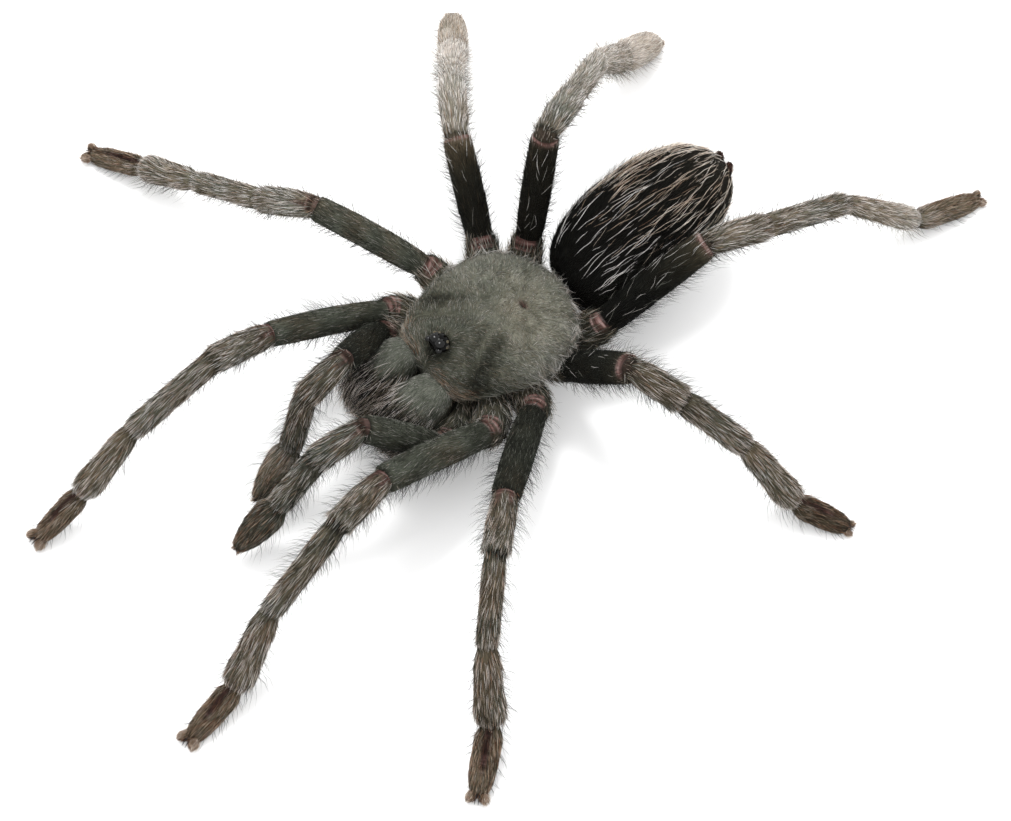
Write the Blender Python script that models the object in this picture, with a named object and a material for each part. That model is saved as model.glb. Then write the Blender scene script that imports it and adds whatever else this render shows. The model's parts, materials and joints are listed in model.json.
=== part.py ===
"""A dry tarantula, set in its standing pose, with its hair left off.

The head looks along -Y and the spider's left is +X. It stands on the flat soles of its eight feet at
Z = 0. Sizes below are in millimetres; `MM` turns them into metres.
"""

import math
from typing import NamedTuple

import bmesh
import bpy
from mathutils import Vector

MM = 0.001

# The shield over the front body: an oval plate whose head end is narrower and raised.
CARAPACE_LENGTH = 24.8
CARAPACE_WIDTH = 22.4
CARAPACE_RIM_Z = 11.6
CARAPACE_EDGE = 0.7
CARAPACE_CREST_Z = 16.0
CARAPACE_SQUARENESS = 5.0
CARAPACE_DOME_POWER = 0.75
CARAPACE_REAR_POWER = 2.6
HEAD_WIDTH = 14.2
HEAD_LIFT = 1.6
HEAD_FORWARD = 8.0
HEAD_SPREAD = (5.5, 4.5)
PLATE_REACH_POWER = 0.8

# The plate under the front body.
STERNUM_LENGTH = 12.6
STERNUM_WIDTH = 8.6
STERNUM_MID_Z = 5.4
STERNUM_THICKNESS = 1.5

# Jaws, side by side under the front of the shield. A root is out to its side, forward, up.
JAW_LENGTH = 10.2
JAW_WIDTH = 7.0
JAW_DEPTH = 8.0
JAW_ROOT = (3.7, 12.2, 9.9)
JAW_DIP = 20.0
JAW_SQUARENESS = 3.4
JAW_FRONT_NARROWING = 0.16
JAW_FRONT_THINNING = 0.3
FANG_RADIUS = 0.75
FANG_ROUTE = ((0.2, -1.0, -3.4), (0.2, -2.4, -4.4), (0.0, -4.2, -4.9), (-0.3, -6.0, -4.7))
FANG_TAPER = (1.0, 1.0, 0.7, 0.15)

# Rear body, with the waist that carries it.
ABDOMEN_LENGTH = 30.0
ABDOMEN_RADIUS = 8.2
ABDOMEN_FLATTEN = 0.95
ABDOMEN_FRONT = (-2.3, -13.4, 10.0)
ABDOMEN_TURN = -3.0
ABDOMEN_RISE = 11.0
ABDOMEN_WIDEST = 0.54
ABDOMEN_BLUNTNESS = 2.3
WAIST_RADIUS = 1.3
WAIST_START = (0.0, -10.4, 9.0)
SPINNERET_RADIUS = 0.75
SPINNERET_ROUTE = ((1.3, -0.7, -0.9), (1.5, -1.2, 0.1), (1.6, -1.2, 1.2), (1.6, -0.9, 2.2))
SPINNERET_TAPER = (1.0, 1.1, 0.9, 0.5)

# Limbs. A foot's last joint stands this high, so that the sole is a flat cut through its tip.
FOOT_AXIS_Z = 0.45
GAP = 0.35
RIM_CHAMFER = 0.22
TROCHANTER_LENGTH = 2.6
BEND_RISE_SHARE = 0.4
BOW = 0.02
SWELL_POWER = 0.6
BEVEL_RESOLUTION = 3

# Radii where each length of a limb starts, is thickest, and ends.
HIP_GIRTH = (1.7, 2.15, 1.8)
FEMUR_GIRTH = (1.75, 2.2, 1.9)
PATELLA_GIRTH = (1.6, 2.0, 1.75)
TIBIA_GIRTH = (1.7, 1.9, 1.6)
METATARSUS_GIRTH = (1.35, 1.55, 1.35)
TARSUS_GIRTH = (1.2, 1.75, 1.15)
PALP_GIRTH_SHARE = 0.9

# Each finish: its linear colour, and its roughness.
FINISHES = {
    "carapace_grey": ((0.112, 0.112, 0.092), 0.8),
    "jaw_grey": ((0.102, 0.112, 0.098), 0.75),
    "fang_black": ((0.010, 0.008, 0.008), 0.3),
    "underside_brown": ((0.060, 0.045, 0.036), 0.8),
    "abdomen_black": ((0.012, 0.012, 0.011), 0.9),
    "femur_black": ((0.016, 0.015, 0.013), 0.85),
    "femur_grey": ((0.075, 0.080, 0.066), 0.8),
    "limb_brown": ((0.125, 0.108, 0.088), 0.8),
    "limb_pale": ((0.330, 0.285, 0.240), 0.8),
}

# The limbs whose femora are grey and not black, and those whose far lengths are pale.
GREY_FEMORA = ("left_leg_1", "left_palp")
PALE_LIMBS = ("right_leg_3", "right_leg_4")


class Kind(NamedTuple):
    """What the two limbs of a pair share.

    lengths run from the femur to the tip: femur, patella, tibia, metatarsus (legs only), tarsus.
    root is where the hip grows from the underside: out to its own side, forward, up.
    """

    lengths: tuple
    root: tuple


KINDS = {
    "leg_1": Kind((18.9, 10.9, 15.4, 12.5, 9.9), (5.4, 4.7, 7.6)),
    "leg_2": Kind((18.1, 10.7, 12.7, 11.2, 10.2), (5.8, 0.4, 7.6)),
    "leg_3": Kind((15.3, 9.0, 10.9, 12.9, 9.2), (5.6, -4.0, 7.6)),
    "leg_4": Kind((18.7, 10.2, 14.5, 17.5, 11.7), (4.6, -8.4, 7.6)),
    "palp": Kind((14.3, 8.0, 10.3, 9.4), (3.6, 8.0, 6.4)),
}


class Pose(NamedTuple):
    """How one limb is set.

    hip is where its femur starts: out to its own side, forward, up. turns are the headings of its
    lengths, in degrees from straight ahead towards its own side. rises are the slopes of a palp's
    lengths, and of a leg's lengths after the femur; a leg's femur lifts so far that its foot stands.
    bend is where the hip turns towards the femur, if that isn't straight behind the femur.
    """

    hip: tuple
    turns: tuple
    rises: tuple
    bend: tuple | None = None


POSES = {
    "left_leg_1": Pose((12.8, 10.6, 10.3), (3, 16, 10, 18, 16), (14, -33, -43, -14)),
    "left_leg_2": Pose((14.1, 2.9, 10.0), (41, 46, 48, 55, 45), (11, -30, -42, -23)),
    "left_leg_3": Pose((11.2, -6.1, 9.9), (107, 117, 113, 117, 125), (-26, -26, -47, -17)),
    "left_leg_4": Pose((8.5, -14.4, 11.1), (170, 175, 172, 164, 167), (-16, -15, -43, -11)),
    "right_leg_1": Pose((12.4, 10.0, 9.7), (10, -2, -2, -2, 0), (26, -24, -40, -35)),
    "right_leg_2": Pose((15.2, 1.2, 10.1), (57, 62, 65, 72, 63), (-30, -20, -21, -15)),
    "right_leg_3": Pose((14.3, -8.3, 10.1), (110, 121, 125, 126, 125), (-2, -40, -42, -16)),
    "right_leg_4": Pose((8.9, -13.2, 13.0), (147, 146, 145, 144, 170), (-19, -31, -53, -27)),
    "left_palp": Pose((10.4, 16.9, 9.7), (-22, -11, -8, -3), (43, -25, -51, -33), (10.4, 13.2, 7.6)),
    "right_palp": Pose((9.5, 13.1, 10.4), (-30, -6, -12, -18), (41, -6, -68, -32), (9.4, 11.5, 7.9)),
}


def finish(name):
    """A finish's material, made the first time that a piece asks for it."""
    if name in bpy.data.materials:
        return bpy.data.materials[name]
    colour, roughness = FINISHES[name]
    made = bpy.data.materials.new(name)
    made.use_nodes = True
    shader = made.node_tree.nodes["Principled BSDF"]
    shader.inputs["Base Color"].default_value = (*colour, 1.0)
    shader.inputs["Roughness"].default_value = roughness
    shader.inputs["Metallic"].default_value = 0.0
    return made


def add_object(name, data, parent, spot):
    """Puts a mesh, or an empty where data is None, in the parent's collection at a spot."""
    made = bpy.data.objects.new(name, data)
    made.parent = parent
    made.location = spot * MM
    parent.users_collection[0].objects.link(made)
    return made


def finish_mesh(data, shape):
    """Writes a closed bmesh into a mesh, smooth-shaded, and frees it."""
    bmesh.ops.recalc_face_normals(shape, faces=shape.faces)
    shape.to_mesh(data)
    shape.free()
    data.shade_smooth()


def place(side, spot):
    """A point from its distances out to its own side, forward and up."""
    out, forward, up = spot
    return Vector((side * out, -forward, up))


def heading(side, turn, rise):
    """A unit vector from a heading towards the limb's own side and a slope, both in degrees."""
    turn, rise = math.radians(turn), math.radians(rise)
    return place(side, (math.sin(turn) * math.cos(rise), math.cos(turn) * math.cos(rise), math.sin(rise)))


def tube(name, points, radii, finish_name):
    """A round tapered bar, with its origin at the first of its points, and its ends capped.

    Each point has a radius.
    """
    data = bpy.data.curves.new(name, "CURVE")
    data.dimensions = "3D"
    data.bevel_depth = MM
    data.bevel_resolution = BEVEL_RESOLUTION
    data.use_fill_caps = True
    spline = data.splines.new("POLY")
    spline.points.add(len(points) - 1)
    for point, spot, radius in zip(spline.points, points, radii):
        point.co = (*((spot - points[0]) * MM), 1.0)
        point.radius = radius

    bar = bpy.data.objects.new(name, data)
    bpy.context.scene.collection.objects.link(bar)
    graph = bpy.context.evaluated_depsgraph_get()
    mesh = bpy.data.meshes.new_from_object(bar.evaluated_get(graph))
    bpy.data.objects.remove(bar)
    mesh.name = name
    shape = bmesh.new()
    shape.from_mesh(mesh)
    bmesh.ops.remove_doubles(shape, verts=shape.verts, dist=0.01 * MM)
    finish_mesh(mesh, shape)
    mesh.materials.append(finish(finish_name))
    return mesh


def cut_sole(mesh, height):
    """Cuts a foot whose origin is at a height off flat at the ground, and closes the cut."""
    shape = bmesh.new()
    shape.from_mesh(mesh)
    every = shape.verts[:] + shape.edges[:] + shape.faces[:]
    ground = Vector((0.0, 0.0, -height * MM))
    cut = bmesh.ops.bisect_plane(
        shape, geom=every, dist=1e-7, plane_co=ground, plane_no=(0, 0, -1), clear_outer=True
    )
    rim = [edge for edge in cut["geom_cut"] if isinstance(edge, bmesh.types.BMEdge)]
    bmesh.ops.contextual_create(shape, geom=rim)
    finish_mesh(mesh, shape)


def swell(points, girth):
    """Radii along a length that thickens from its start and narrows to its end."""
    first, middle, last = girth
    radii = []
    for step in range(len(points)):
        along = step / (len(points) - 1)
        edge = first + (last - first) * along
        radii.append(edge + (middle - edge) * math.sin(math.pi * along) ** SWELL_POWER)
    return radii


def bar_points(start, end, steps, bow=0.0):
    """Points from start to end. bow lifts the middle, as a share of the length."""
    points = []
    for step in range(steps + 1):
        point = start.lerp(end, step / steps)
        point.z += bow * (end - start).length * math.sin(math.pi * step / steps)
        points.append(point)
    return points


def with_rims(points, radii):
    """Adds a short narrower ring outside each end, so that the cap has a rounded rim."""
    first = (points[0] - points[1]).normalized() * RIM_CHAMFER * radii[0]
    last = (points[-1] - points[-2]).normalized() * RIM_CHAMFER * radii[-1]
    narrower = 1.0 - RIM_CHAMFER
    return (
        [points[0] + first, *points, points[-1] + last],
        [radii[0] * narrower, *radii, radii[-1] * narrower],
    )


def setback(before, after, radius):
    """How far a bar's end stays back from a bent joint, so that the two bars clear each other."""
    return GAP / 2 + radius * (math.tan(before.angle(after) / 2) + RIM_CHAMFER)


def limb_route(side, kind, pose):
    """The points of a limb: the hip's root and bend, the femur's start, then each joint."""
    lengths = kind.lengths
    rises = list(pose.rises)
    if len(rises) < len(lengths):
        drop = sum(
            length * math.sin(math.radians(rise)) for length, rise in zip(lengths[1:], rises)
        )
        lift = (FOOT_AXIS_Z - pose.hip[2] - drop) / lengths[0]
        rises.insert(0, math.degrees(math.asin(lift)))
    root, start = place(side, kind.root), place(side, pose.hip)
    if pose.bend:
        bend = place(side, pose.bend)
    else:
        bend = start - heading(side, pose.turns[0], 0) * TROCHANTER_LENGTH
        bend.z = root.z + BEND_RISE_SHARE * (start.z - root.z)
    route = [root, bend, start]
    for length, turn, rise in zip(lengths, pose.turns, rises):
        route.append(route[-1] + heading(side, turn, rise) * length)
    return route


def trimmed(route, index, girth):
    """Start and end of the length that leaves route[index], set back from the bends it ends in."""
    here, there = route[index], route[index + 1]
    along = (there - here).normalized()
    start = here + along * setback(here - route[index - 1], along, girth[0])
    if index + 2 == len(route):
        return start, there
    return start, there - along * setback(along, route[index + 2] - there, girth[2])


def hip_bar(route):
    """The hip: straight out from under the body, then round towards the femur."""
    end = trimmed(route, 1, HIP_GIRTH)[1]
    points = bar_points(route[0], route[1], 3) + [end]
    return points, swell(points, HIP_GIRTH)


def straight_bar(route, index, girth, steps, bow=0.0):
    """One straight length of a limb."""
    points = bar_points(*trimmed(route, index, girth), steps, bow)
    return points, swell(points, girth)


def knee_and_shin_bar(route):
    """Patella and tibia in one bent bar."""
    start = trimmed(route, 3, PATELLA_GIRTH)[0]
    end = trimmed(route, 4, TIBIA_GIRTH)[1]
    knee = bar_points(start, route[4], 3, BOW)
    shin = bar_points(route[4], end, 4)
    radii = swell(knee, PATELLA_GIRTH) + swell(shin, TIBIA_GIRTH)[1:]
    return knee + shin[1:], radii


def limb_finish(name, piece):
    """The finish of one piece of a limb."""
    if piece == "hip":
        return "underside_brown"
    if piece == "femur":
        return "femur_grey" if name in GREY_FEMORA else "femur_black"
    return "limb_pale" if name in PALE_LIMBS else "limb_brown"


def add_limb(name, whole):
    """All pieces of one leg or palp, under an empty where its femur starts."""
    side_name, kind_name = name.split("_", 1)
    side = 1 if side_name == "left" else -1
    route = limb_route(side, KINDS[kind_name], POSES[name])
    bars = {
        "hip": hip_bar(route),
        "femur": straight_bar(route, 2, FEMUR_GIRTH, 5, BOW),
        "patella_tibia": knee_and_shin_bar(route),
    }
    is_palp = kind_name == "palp"
    if not is_palp:
        bars["metatarsus"] = straight_bar(route, 5, METATARSUS_GIRTH, 4)
    bars["tarsus"] = straight_bar(route, len(route) - 2, TARSUS_GIRTH, 4)

    limb = add_object(name, None, whole, route[2])
    for piece, bar in bars.items():
        points, radii = with_rims(*bar)
        if is_palp:
            radii = [PALP_GIRTH_SHARE * radius for radius in radii]
        mesh = tube(f"{name}_{piece}", points, radii, limb_finish(name, piece))
        if piece == "tarsus" and not is_palp:
            cut_sole(mesh, points[0].z)
        add_object(mesh.name, mesh, limb, points[0] - route[2])


def shaped_ball(name, segments, rings, shaper, finish_name):
    """A closed body made from a ball, each of whose points is put where shaper(direction) says."""
    shape = bmesh.new()
    bmesh.ops.create_uvsphere(shape, u_segments=segments, v_segments=rings, radius=1.0)
    for vert in shape.verts:
        vert.co = shaper(vert.co.normalized()) * MM
    data = bpy.data.meshes.new(name)
    finish_mesh(data, shape)
    data.materials.append(finish(finish_name))
    return data


def carapace_half_width(along):
    """The shield's half width from its rear edge (-1) to its front edge (1)."""
    rear = (1.0 - max(0.0, -along) ** CARAPACE_REAR_POWER) ** 0.42
    front = 1.0 - (1.0 - HEAD_WIDTH / CARAPACE_WIDTH) * max(0.0, along) ** 1.3
    return CARAPACE_WIDTH / 2 * rear * front


def carapace_point(direction):
    """The shield's surface in a direction: domed on top, flat below, with a thin rounded edge."""
    angle = math.atan2(direction.x, -direction.y)
    reach = math.hypot(direction.x, direction.y) ** PLATE_REACH_POWER
    ahead, aside = math.cos(angle), math.sin(angle)
    power = CARAPACE_SQUARENESS
    square = (abs(ahead) ** power + abs(aside) ** power) ** (-1 / power)
    forward = ahead * square * CARAPACE_LENGTH / 2 * reach
    x = aside * square * carapace_half_width(max(-1.0, ahead * square)) * reach
    rim = CARAPACE_RIM_Z + CARAPACE_EDGE / 2
    if direction.z <= 0:
        return Vector((x, -forward, rim - CARAPACE_EDGE * min(1.0, -3 * direction.z)))
    spread_x, spread_y = HEAD_SPREAD
    head = math.exp(-(((forward - HEAD_FORWARD) / spread_y) ** 2) - (x / spread_x) ** 2)
    dome = direction.z**CARAPACE_DOME_POWER
    return Vector((x, -forward, rim + dome * (CARAPACE_CREST_Z - rim + HEAD_LIFT * head)))


def sternum_point(direction):
    """The plate under the front body: a shield, with the labium as its blunt front."""
    angle = math.atan2(direction.x, -direction.y)
    reach = math.hypot(direction.x, direction.y) ** PLATE_REACH_POWER
    along = math.cos(angle)
    narrowing = 0.35 * max(0.0, along) ** 2 + 0.25 * max(0.0, -along) ** 3
    x = math.sin(angle) * STERNUM_WIDTH / 2 * (1.0 - narrowing) * reach
    y = -along * STERNUM_LENGTH / 2 * reach
    return Vector((x, y, STERNUM_MID_Z + direction.z * STERNUM_THICKNESS / 2))


def jaw_point(direction):
    """One jaw about its own middle, along -Y: a plump block that narrows and thins to its front."""
    x, y, z = direction
    power = JAW_SQUARENESS
    square = (abs(x) ** power + abs(y) ** power + abs(z) ** power) ** (-1 / power)
    front = max(0.0, -y * square) ** 2
    return Vector((
        x * square * JAW_WIDTH / 2 * (1.0 - JAW_FRONT_NARROWING * front),
        y * square * JAW_LENGTH / 2,
        z * square * JAW_DEPTH / 2 * (1.0 - JAW_FRONT_THINNING * front),
    ))


def add_jaw(side, word, whole):
    """One jaw, with its fang folded back beneath it."""
    along = heading(side, 0, -JAW_DIP)
    root = place(side, JAW_ROOT)
    mesh = shaped_ball(f"chelicera_{word}", 16, 10, jaw_point, "jaw_grey")
    jaw = add_object(mesh.name, mesh, whole, root + along * JAW_LENGTH / 2)
    jaw.rotation_euler.x = math.radians(JAW_DIP)

    points = [root + along * JAW_LENGTH + place(side, step) for step in FANG_ROUTE]
    radii = [FANG_RADIUS * share for share in FANG_TAPER]
    add_object(f"fang_{word}", tube(f"fang_{word}", points, radii, "fang_black"), whole, points[0])


def abdomen_point(direction):
    """The abdomen's surface in a direction: an egg along Z, with its waist end at the origin."""
    along = (1.0 - math.cos(math.pi * (direction.z + 1.0) / 2)) / 2
    side_length = ABDOMEN_WIDEST if along < ABDOMEN_WIDEST else 1.0 - ABDOMEN_WIDEST
    beyond = min(1.0, abs(along - ABDOMEN_WIDEST) / side_length)
    radius = ABDOMEN_RADIUS * math.sqrt(1.0 - beyond**ABDOMEN_BLUNTNESS)
    around = math.atan2(direction.y, direction.x)
    x = math.cos(around) * radius
    y = math.sin(around) * radius * ABDOMEN_FLATTEN
    return Vector((x, y, along * ABDOMEN_LENGTH))


def add_rear_body(whole):
    """Abdomen, waist and spinnerets."""
    back = heading(1, 180 + ABDOMEN_TURN, ABDOMEN_RISE)
    front = place(1, ABDOMEN_FRONT)
    mesh = shaped_ball("abdomen", 24, 14, abdomen_point, "abdomen_black")
    abdomen = add_object("abdomen", mesh, whole, front)
    abdomen.rotation_euler = back.to_track_quat("Z", "Y").to_euler()

    waist = bar_points(place(1, WAIST_START), front - back * 3 * GAP, 3)
    mesh = tube("pedicel", waist, [WAIST_RADIUS] * len(waist), "underside_brown")
    add_object("pedicel", mesh, whole, waist[0])

    tail = front + back * ABDOMEN_LENGTH
    for side, word in ((1, "left"), (-1, "right")):
        points = [tail + place(side, step) for step in SPINNERET_ROUTE]
        radii = [SPINNERET_RADIUS * share for share in SPINNERET_TAPER]
        mesh = tube(f"spinneret_{word}", points, radii, "underside_brown")
        add_object(mesh.name, mesh, whole, points[0])


def stand_on_origin(whole):
    """Moves the specimen so that the origin is on the ground, under the middle of its outline."""
    bpy.context.view_layer.update()
    pieces = [made for made in whole.children_recursive if made.type == "MESH"]
    corners = [made.matrix_world @ vert.co for made in pieces for vert in made.data.vertices]
    for axis in (0, 1):
        values = [corner[axis] for corner in corners]
        whole.location[axis] = -(min(values) + max(values)) / 2


def main():
    """Clears the scene and builds the specimen."""
    for old in list(bpy.data.objects):
        bpy.data.objects.remove(old)
    collection = bpy.data.collections.new("tarantula_specimen")
    bpy.context.scene.collection.children.link(collection)
    whole = bpy.data.objects.new("tarantula_specimen", None)
    collection.objects.link(whole)

    ground = Vector((0.0, 0.0, 0.0))
    carapace = shaped_ball("carapace", 28, 12, carapace_point, "carapace_grey")
    add_object("carapace", carapace, whole, ground)
    sternum = shaped_ball("sternum", 18, 8, sternum_point, "underside_brown")
    add_object("sternum", sternum, whole, ground)
    for side, word in ((1, "left"), (-1, "right")):
        add_jaw(side, word, whole)
    add_rear_body(whole)
    for name in POSES:
        add_limb(name, whole)
    stand_on_origin(whole)


main()
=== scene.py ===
"""The looks of the dry tarantula specimen, round its packed plates and tubes.

The head looks along -Y and the spider's left is +X. Sizes are in millimetres in the specimen's own
frame, whose middle is under the middle of the shield; `world` turns them into metres in the row's.
"""

import json
import logging
import math
from dataclasses import dataclass, field, fields, replace
from enum import Enum
from typing import Any, ClassVar, Iterable, Sequence

import bmesh
import bpy
import numpy as np
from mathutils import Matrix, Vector

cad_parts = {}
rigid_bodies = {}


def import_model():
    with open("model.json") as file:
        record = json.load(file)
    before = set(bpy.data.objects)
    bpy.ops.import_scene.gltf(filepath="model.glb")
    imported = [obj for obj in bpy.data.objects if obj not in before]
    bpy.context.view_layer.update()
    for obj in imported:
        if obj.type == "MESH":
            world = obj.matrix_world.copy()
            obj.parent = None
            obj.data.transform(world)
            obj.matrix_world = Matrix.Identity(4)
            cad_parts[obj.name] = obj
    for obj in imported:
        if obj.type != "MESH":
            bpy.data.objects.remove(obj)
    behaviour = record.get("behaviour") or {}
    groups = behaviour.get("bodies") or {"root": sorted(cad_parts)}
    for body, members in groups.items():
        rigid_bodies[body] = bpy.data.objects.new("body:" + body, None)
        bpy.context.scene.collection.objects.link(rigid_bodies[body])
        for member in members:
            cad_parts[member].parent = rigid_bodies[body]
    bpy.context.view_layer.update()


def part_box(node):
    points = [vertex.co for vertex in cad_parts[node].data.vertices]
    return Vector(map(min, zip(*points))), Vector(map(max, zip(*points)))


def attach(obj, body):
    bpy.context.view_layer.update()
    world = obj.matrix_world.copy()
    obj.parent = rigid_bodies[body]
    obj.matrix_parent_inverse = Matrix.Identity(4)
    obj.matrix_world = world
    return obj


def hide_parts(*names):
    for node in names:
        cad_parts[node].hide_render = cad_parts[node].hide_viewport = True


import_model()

LOG = logging.getLogger("specimen")
# Short names for the types that come most.
Array = np.ndarray
Pair = tuple[float, float]
Spot = tuple[float, float, float]
MM = 0.001
PER_MM2 = 1e6
BODY = "root"
GRAIN_MAP = "grain"
HAIR_MAP = "OFBake"
# Hair and skin keep this far off the ground, in millimetres.
FLOOR_CLEARANCE = 0.03
UP = (0.0, 0.0, 1.0)

ATTRIBUTE = "GeometryNodeInputNamedAttribute"
MATH = "ShaderNodeMath"
MIX = "ShaderNodeMix"
NOISE = "ShaderNodeTexNoise"
RAMP = "ShaderNodeValToRGB"
VECTOR = "ShaderNodeVectorMath"


def shield_middle() -> Array:
    """The middle of the shield seen from above, in metres in the row's frame."""
    low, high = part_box("carapace")
    return np.array([(low[0] + high[0]) / 2, (low[1] + high[1]) / 2, 0.0])


CENTRE = shield_middle()


def world(points: Array) -> Array:
    """Points in millimetres in the specimen's frame, as metres in the row's frame."""
    return np.asarray(points, float) * MM + CENTRE


def linear(hex_colour: str) -> tuple[float, float, float, float]:
    """An sRGB hex colour as a linear one.

    Args:
        hex_colour: The colour, such as "#a0b1c2".

    Returns:
        Its red, green, blue and alpha.
    """
    parts = [int(hex_colour[at : at + 2], 16) / 255 for at in (1, 3, 5)]
    turned = [part / 12.92 if part <= 0.04045 else ((part + 0.055) / 1.055) ** 2.4 for part in parts]
    return (*turned, 1.0)


def unit(vectors: Array) -> Array:
    """Vectors along the last axis, at length one."""
    vectors = np.asarray(vectors, float)
    return vectors / np.maximum(np.linalg.norm(vectors, axis=-1, keepdims=True), 1e-12)


def smooth_step(low: float, high: float, values: Array) -> Array:
    """Zero below low, one above high, with a smooth turn between them; low may be above high."""
    share = np.clip((np.asarray(values, float) - low) / (high - low), 0.0, 1.0)
    return share * share * (3.0 - 2.0 * share)


def hump(*parts: tuple[Array, float]) -> Array:
    """One where every offset is zero, falling to about a third a width away, for pairs of the two."""
    return np.exp(-sum((offset / width) ** 2 for offset, width in parts))


def eased(points: Array, passes: int) -> Array:
    """Rounds off the corners of a line, and keeps its ends.

    Args:
        points: The line's points.
        passes: How often it is smoothed.

    Returns:
        As many points.
    """
    points = points.copy()
    for _ in range(passes):
        points[1:-1] = (points[:-2] + 2 * points[1:-1] + points[2:]) / 4
    return points


def wander(points: Array, size: float, seed: int) -> Array:
    """Smooth random values about zero, mostly within 1.

    Args:
        points: Where they are wanted, in millimetres.
        size: How large a patch of like values is, in millimetres.
        seed: The random seed.

    Returns:
        A value for each point.
    """
    draws = np.random.default_rng(seed)
    ways = unit(draws.normal(size=(9, 3))) * (2 * math.pi / size) * draws.uniform(0.5, 1.4, (9, 1))
    turns = draws.uniform(0.0, 2 * math.pi, 9)
    return np.sin(points @ ways.T + turns).sum(-1) / 3.0


def ball(columns: int, rows: int) -> tuple[Array, Array]:
    """Directions from the middle of a ball, in rings about Z.

    Args:
        columns: How many directions a ring has.
        rows: How many rings.

    Returns:
        The directions, and each ring's place from 0 to 1.
    """
    turn = np.linspace(0.0, 2 * math.pi, columns, endpoint=False)
    tilt = np.linspace(0.03, math.pi - 0.03, rows)
    out, height = np.sin(tilt)[:, None], np.cos(tilt)[:, None]
    directions = (out * np.cos(turn), out * np.sin(turn), height + 0 * turn)
    return np.stack(directions, axis=-1), tilt / math.pi


def grain_of(rings: Array, along: Array | None = None, girth: float | None = None) -> Array:
    """A place in millimetres for each point of the rings, and once more for their seam.

    Args:
        rings: Rows of points round a skin.
        along: Each row's place along the skin; left out, it is measured down each column.
        girth: The way round; left out, it is that of the widest ring.

    Returns:
        Rows by columns and one more by 2: the place along the skin and the place round it.
    """
    if along is None:
        steps = np.linalg.norm(np.diff(rings, axis=0), axis=2)
        columns = np.concatenate([np.zeros((1, rings.shape[1])), np.cumsum(steps, axis=0)])
        lengths = np.concatenate([columns, columns[:, :1]], axis=1)
    else:
        lengths = along[:, None]
    if girth is None:
        closed = np.concatenate([rings, rings[:, :1]], axis=1)
        girth = np.max(np.linalg.norm(np.diff(closed, axis=1), axis=2).sum(1))
    grid = np.empty((rings.shape[0], rings.shape[1] + 1, 2))
    grid[:, :, 0] = lengths
    grid[:, :, 1] = np.linspace(0.0, girth, rings.shape[1] + 1)
    return grid


class Board:
    """A node tree being built, which keeps each node's results by name."""

    def __init__(self, tree: bpy.types.NodeTree) -> None:
        """Starts on a tree with no nodes."""
        self.tree = tree
        self.at: dict[str, bpy.types.NodeSocket] = {}

    def keep(self, name: str, node: bpy.types.Node, result: int | str = 0) -> None:
        """Keeps a node's results.

        Args:
            name: The name for its main result; the others are name.output.
            node: The node.
            result: Which output is the main one, by number or name.
        """
        self.at.update({f"{name}.{output.name}": output for output in node.outputs})
        if node.outputs:
            self.at[name] = node.outputs[result]

    def add(
        self, name: str, kind: str, links: dict[int | str, Any] | None = None,
        result: int | str = 0, **settings: Any,
    ) -> bpy.types.Node:
        """Adds a node with its settings and links.

        Args:
            name: What its main result is called from here on.
            kind: Blender's name for the kind of node.
            links: For each input, by number or name, an earlier result's name, or a value.
            result: Which output is the main one, by number or name.
            settings: The node's own settings.

        Returns:
            The new node.
        """
        node = self.tree.nodes.new(kind)
        for key, value in settings.items():
            setattr(node, key, value)
        for key, value in (links or {}).items():
            if isinstance(value, str) and value in self.at:
                self.tree.links.new(self.at[value], node.inputs[key])
            else:
                node.inputs[key].default_value = value
        self.keep(name, node, result)
        return node


def set_stops(node: bpy.types.Node, stops: Sequence[tuple[float, str]]) -> None:
    """Gives a colour ramp its stops.

    Args:
        node: The ramp's node.
        stops: Each stop's place from 0 to 1 and its hex colour.
    """
    ramp = node.color_ramp
    while len(ramp.elements) > 1:
        ramp.elements.remove(ramp.elements[-1])
    ramp.elements[0].position, ramp.elements[0].color = stops[0][0], linear(stops[0][1])
    for place, colour in stops[1:]:
        ramp.elements.new(place).color = linear(colour)


class Family(Enum):
    """The three hues that the hair comes in, and the choice to follow the skin's own hue."""

    FROM_SKIN = -1
    ASH = 0
    UMBER = 1
    STRAW = 2


# Each hue's colours: at a tone of t, about as bright as a grey of 255 t.
HUES: dict[Family, tuple[tuple[float, str], ...]] = {
    Family.ASH: (
        (0.0, "#020202"), (0.1, "#191a15"), (0.2, "#33352d"), (0.3, "#4c5047"), (0.4, "#666960"),
        (0.5, "#818279"), (0.65, "#aaa7a0"), (0.8, "#d0ccc6"), (1.0, "#f9f5f2"),
    ),
    Family.UMBER: (
        (0.0, "#040302"), (0.1, "#1e1b13"), (0.2, "#3b3428"), (0.3, "#594f40"), (0.4, "#726959"),
        (0.5, "#8c8173"), (0.65, "#b2a69b"), (0.8, "#d8cbc2"), (1.0, "#fbf4ee"),
    ),
    Family.STRAW: (
        (0.0, "#060302"), (0.1, "#241510"), (0.2, "#4a2f22"), (0.3, "#6e4d3b"), (0.4, "#8b6b56"),
        (0.5, "#a58972"), (0.65, "#c9b39e"), (0.8, "#e2d3c3"), (1.0, "#fbf5ec"),
    ),
}


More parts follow.
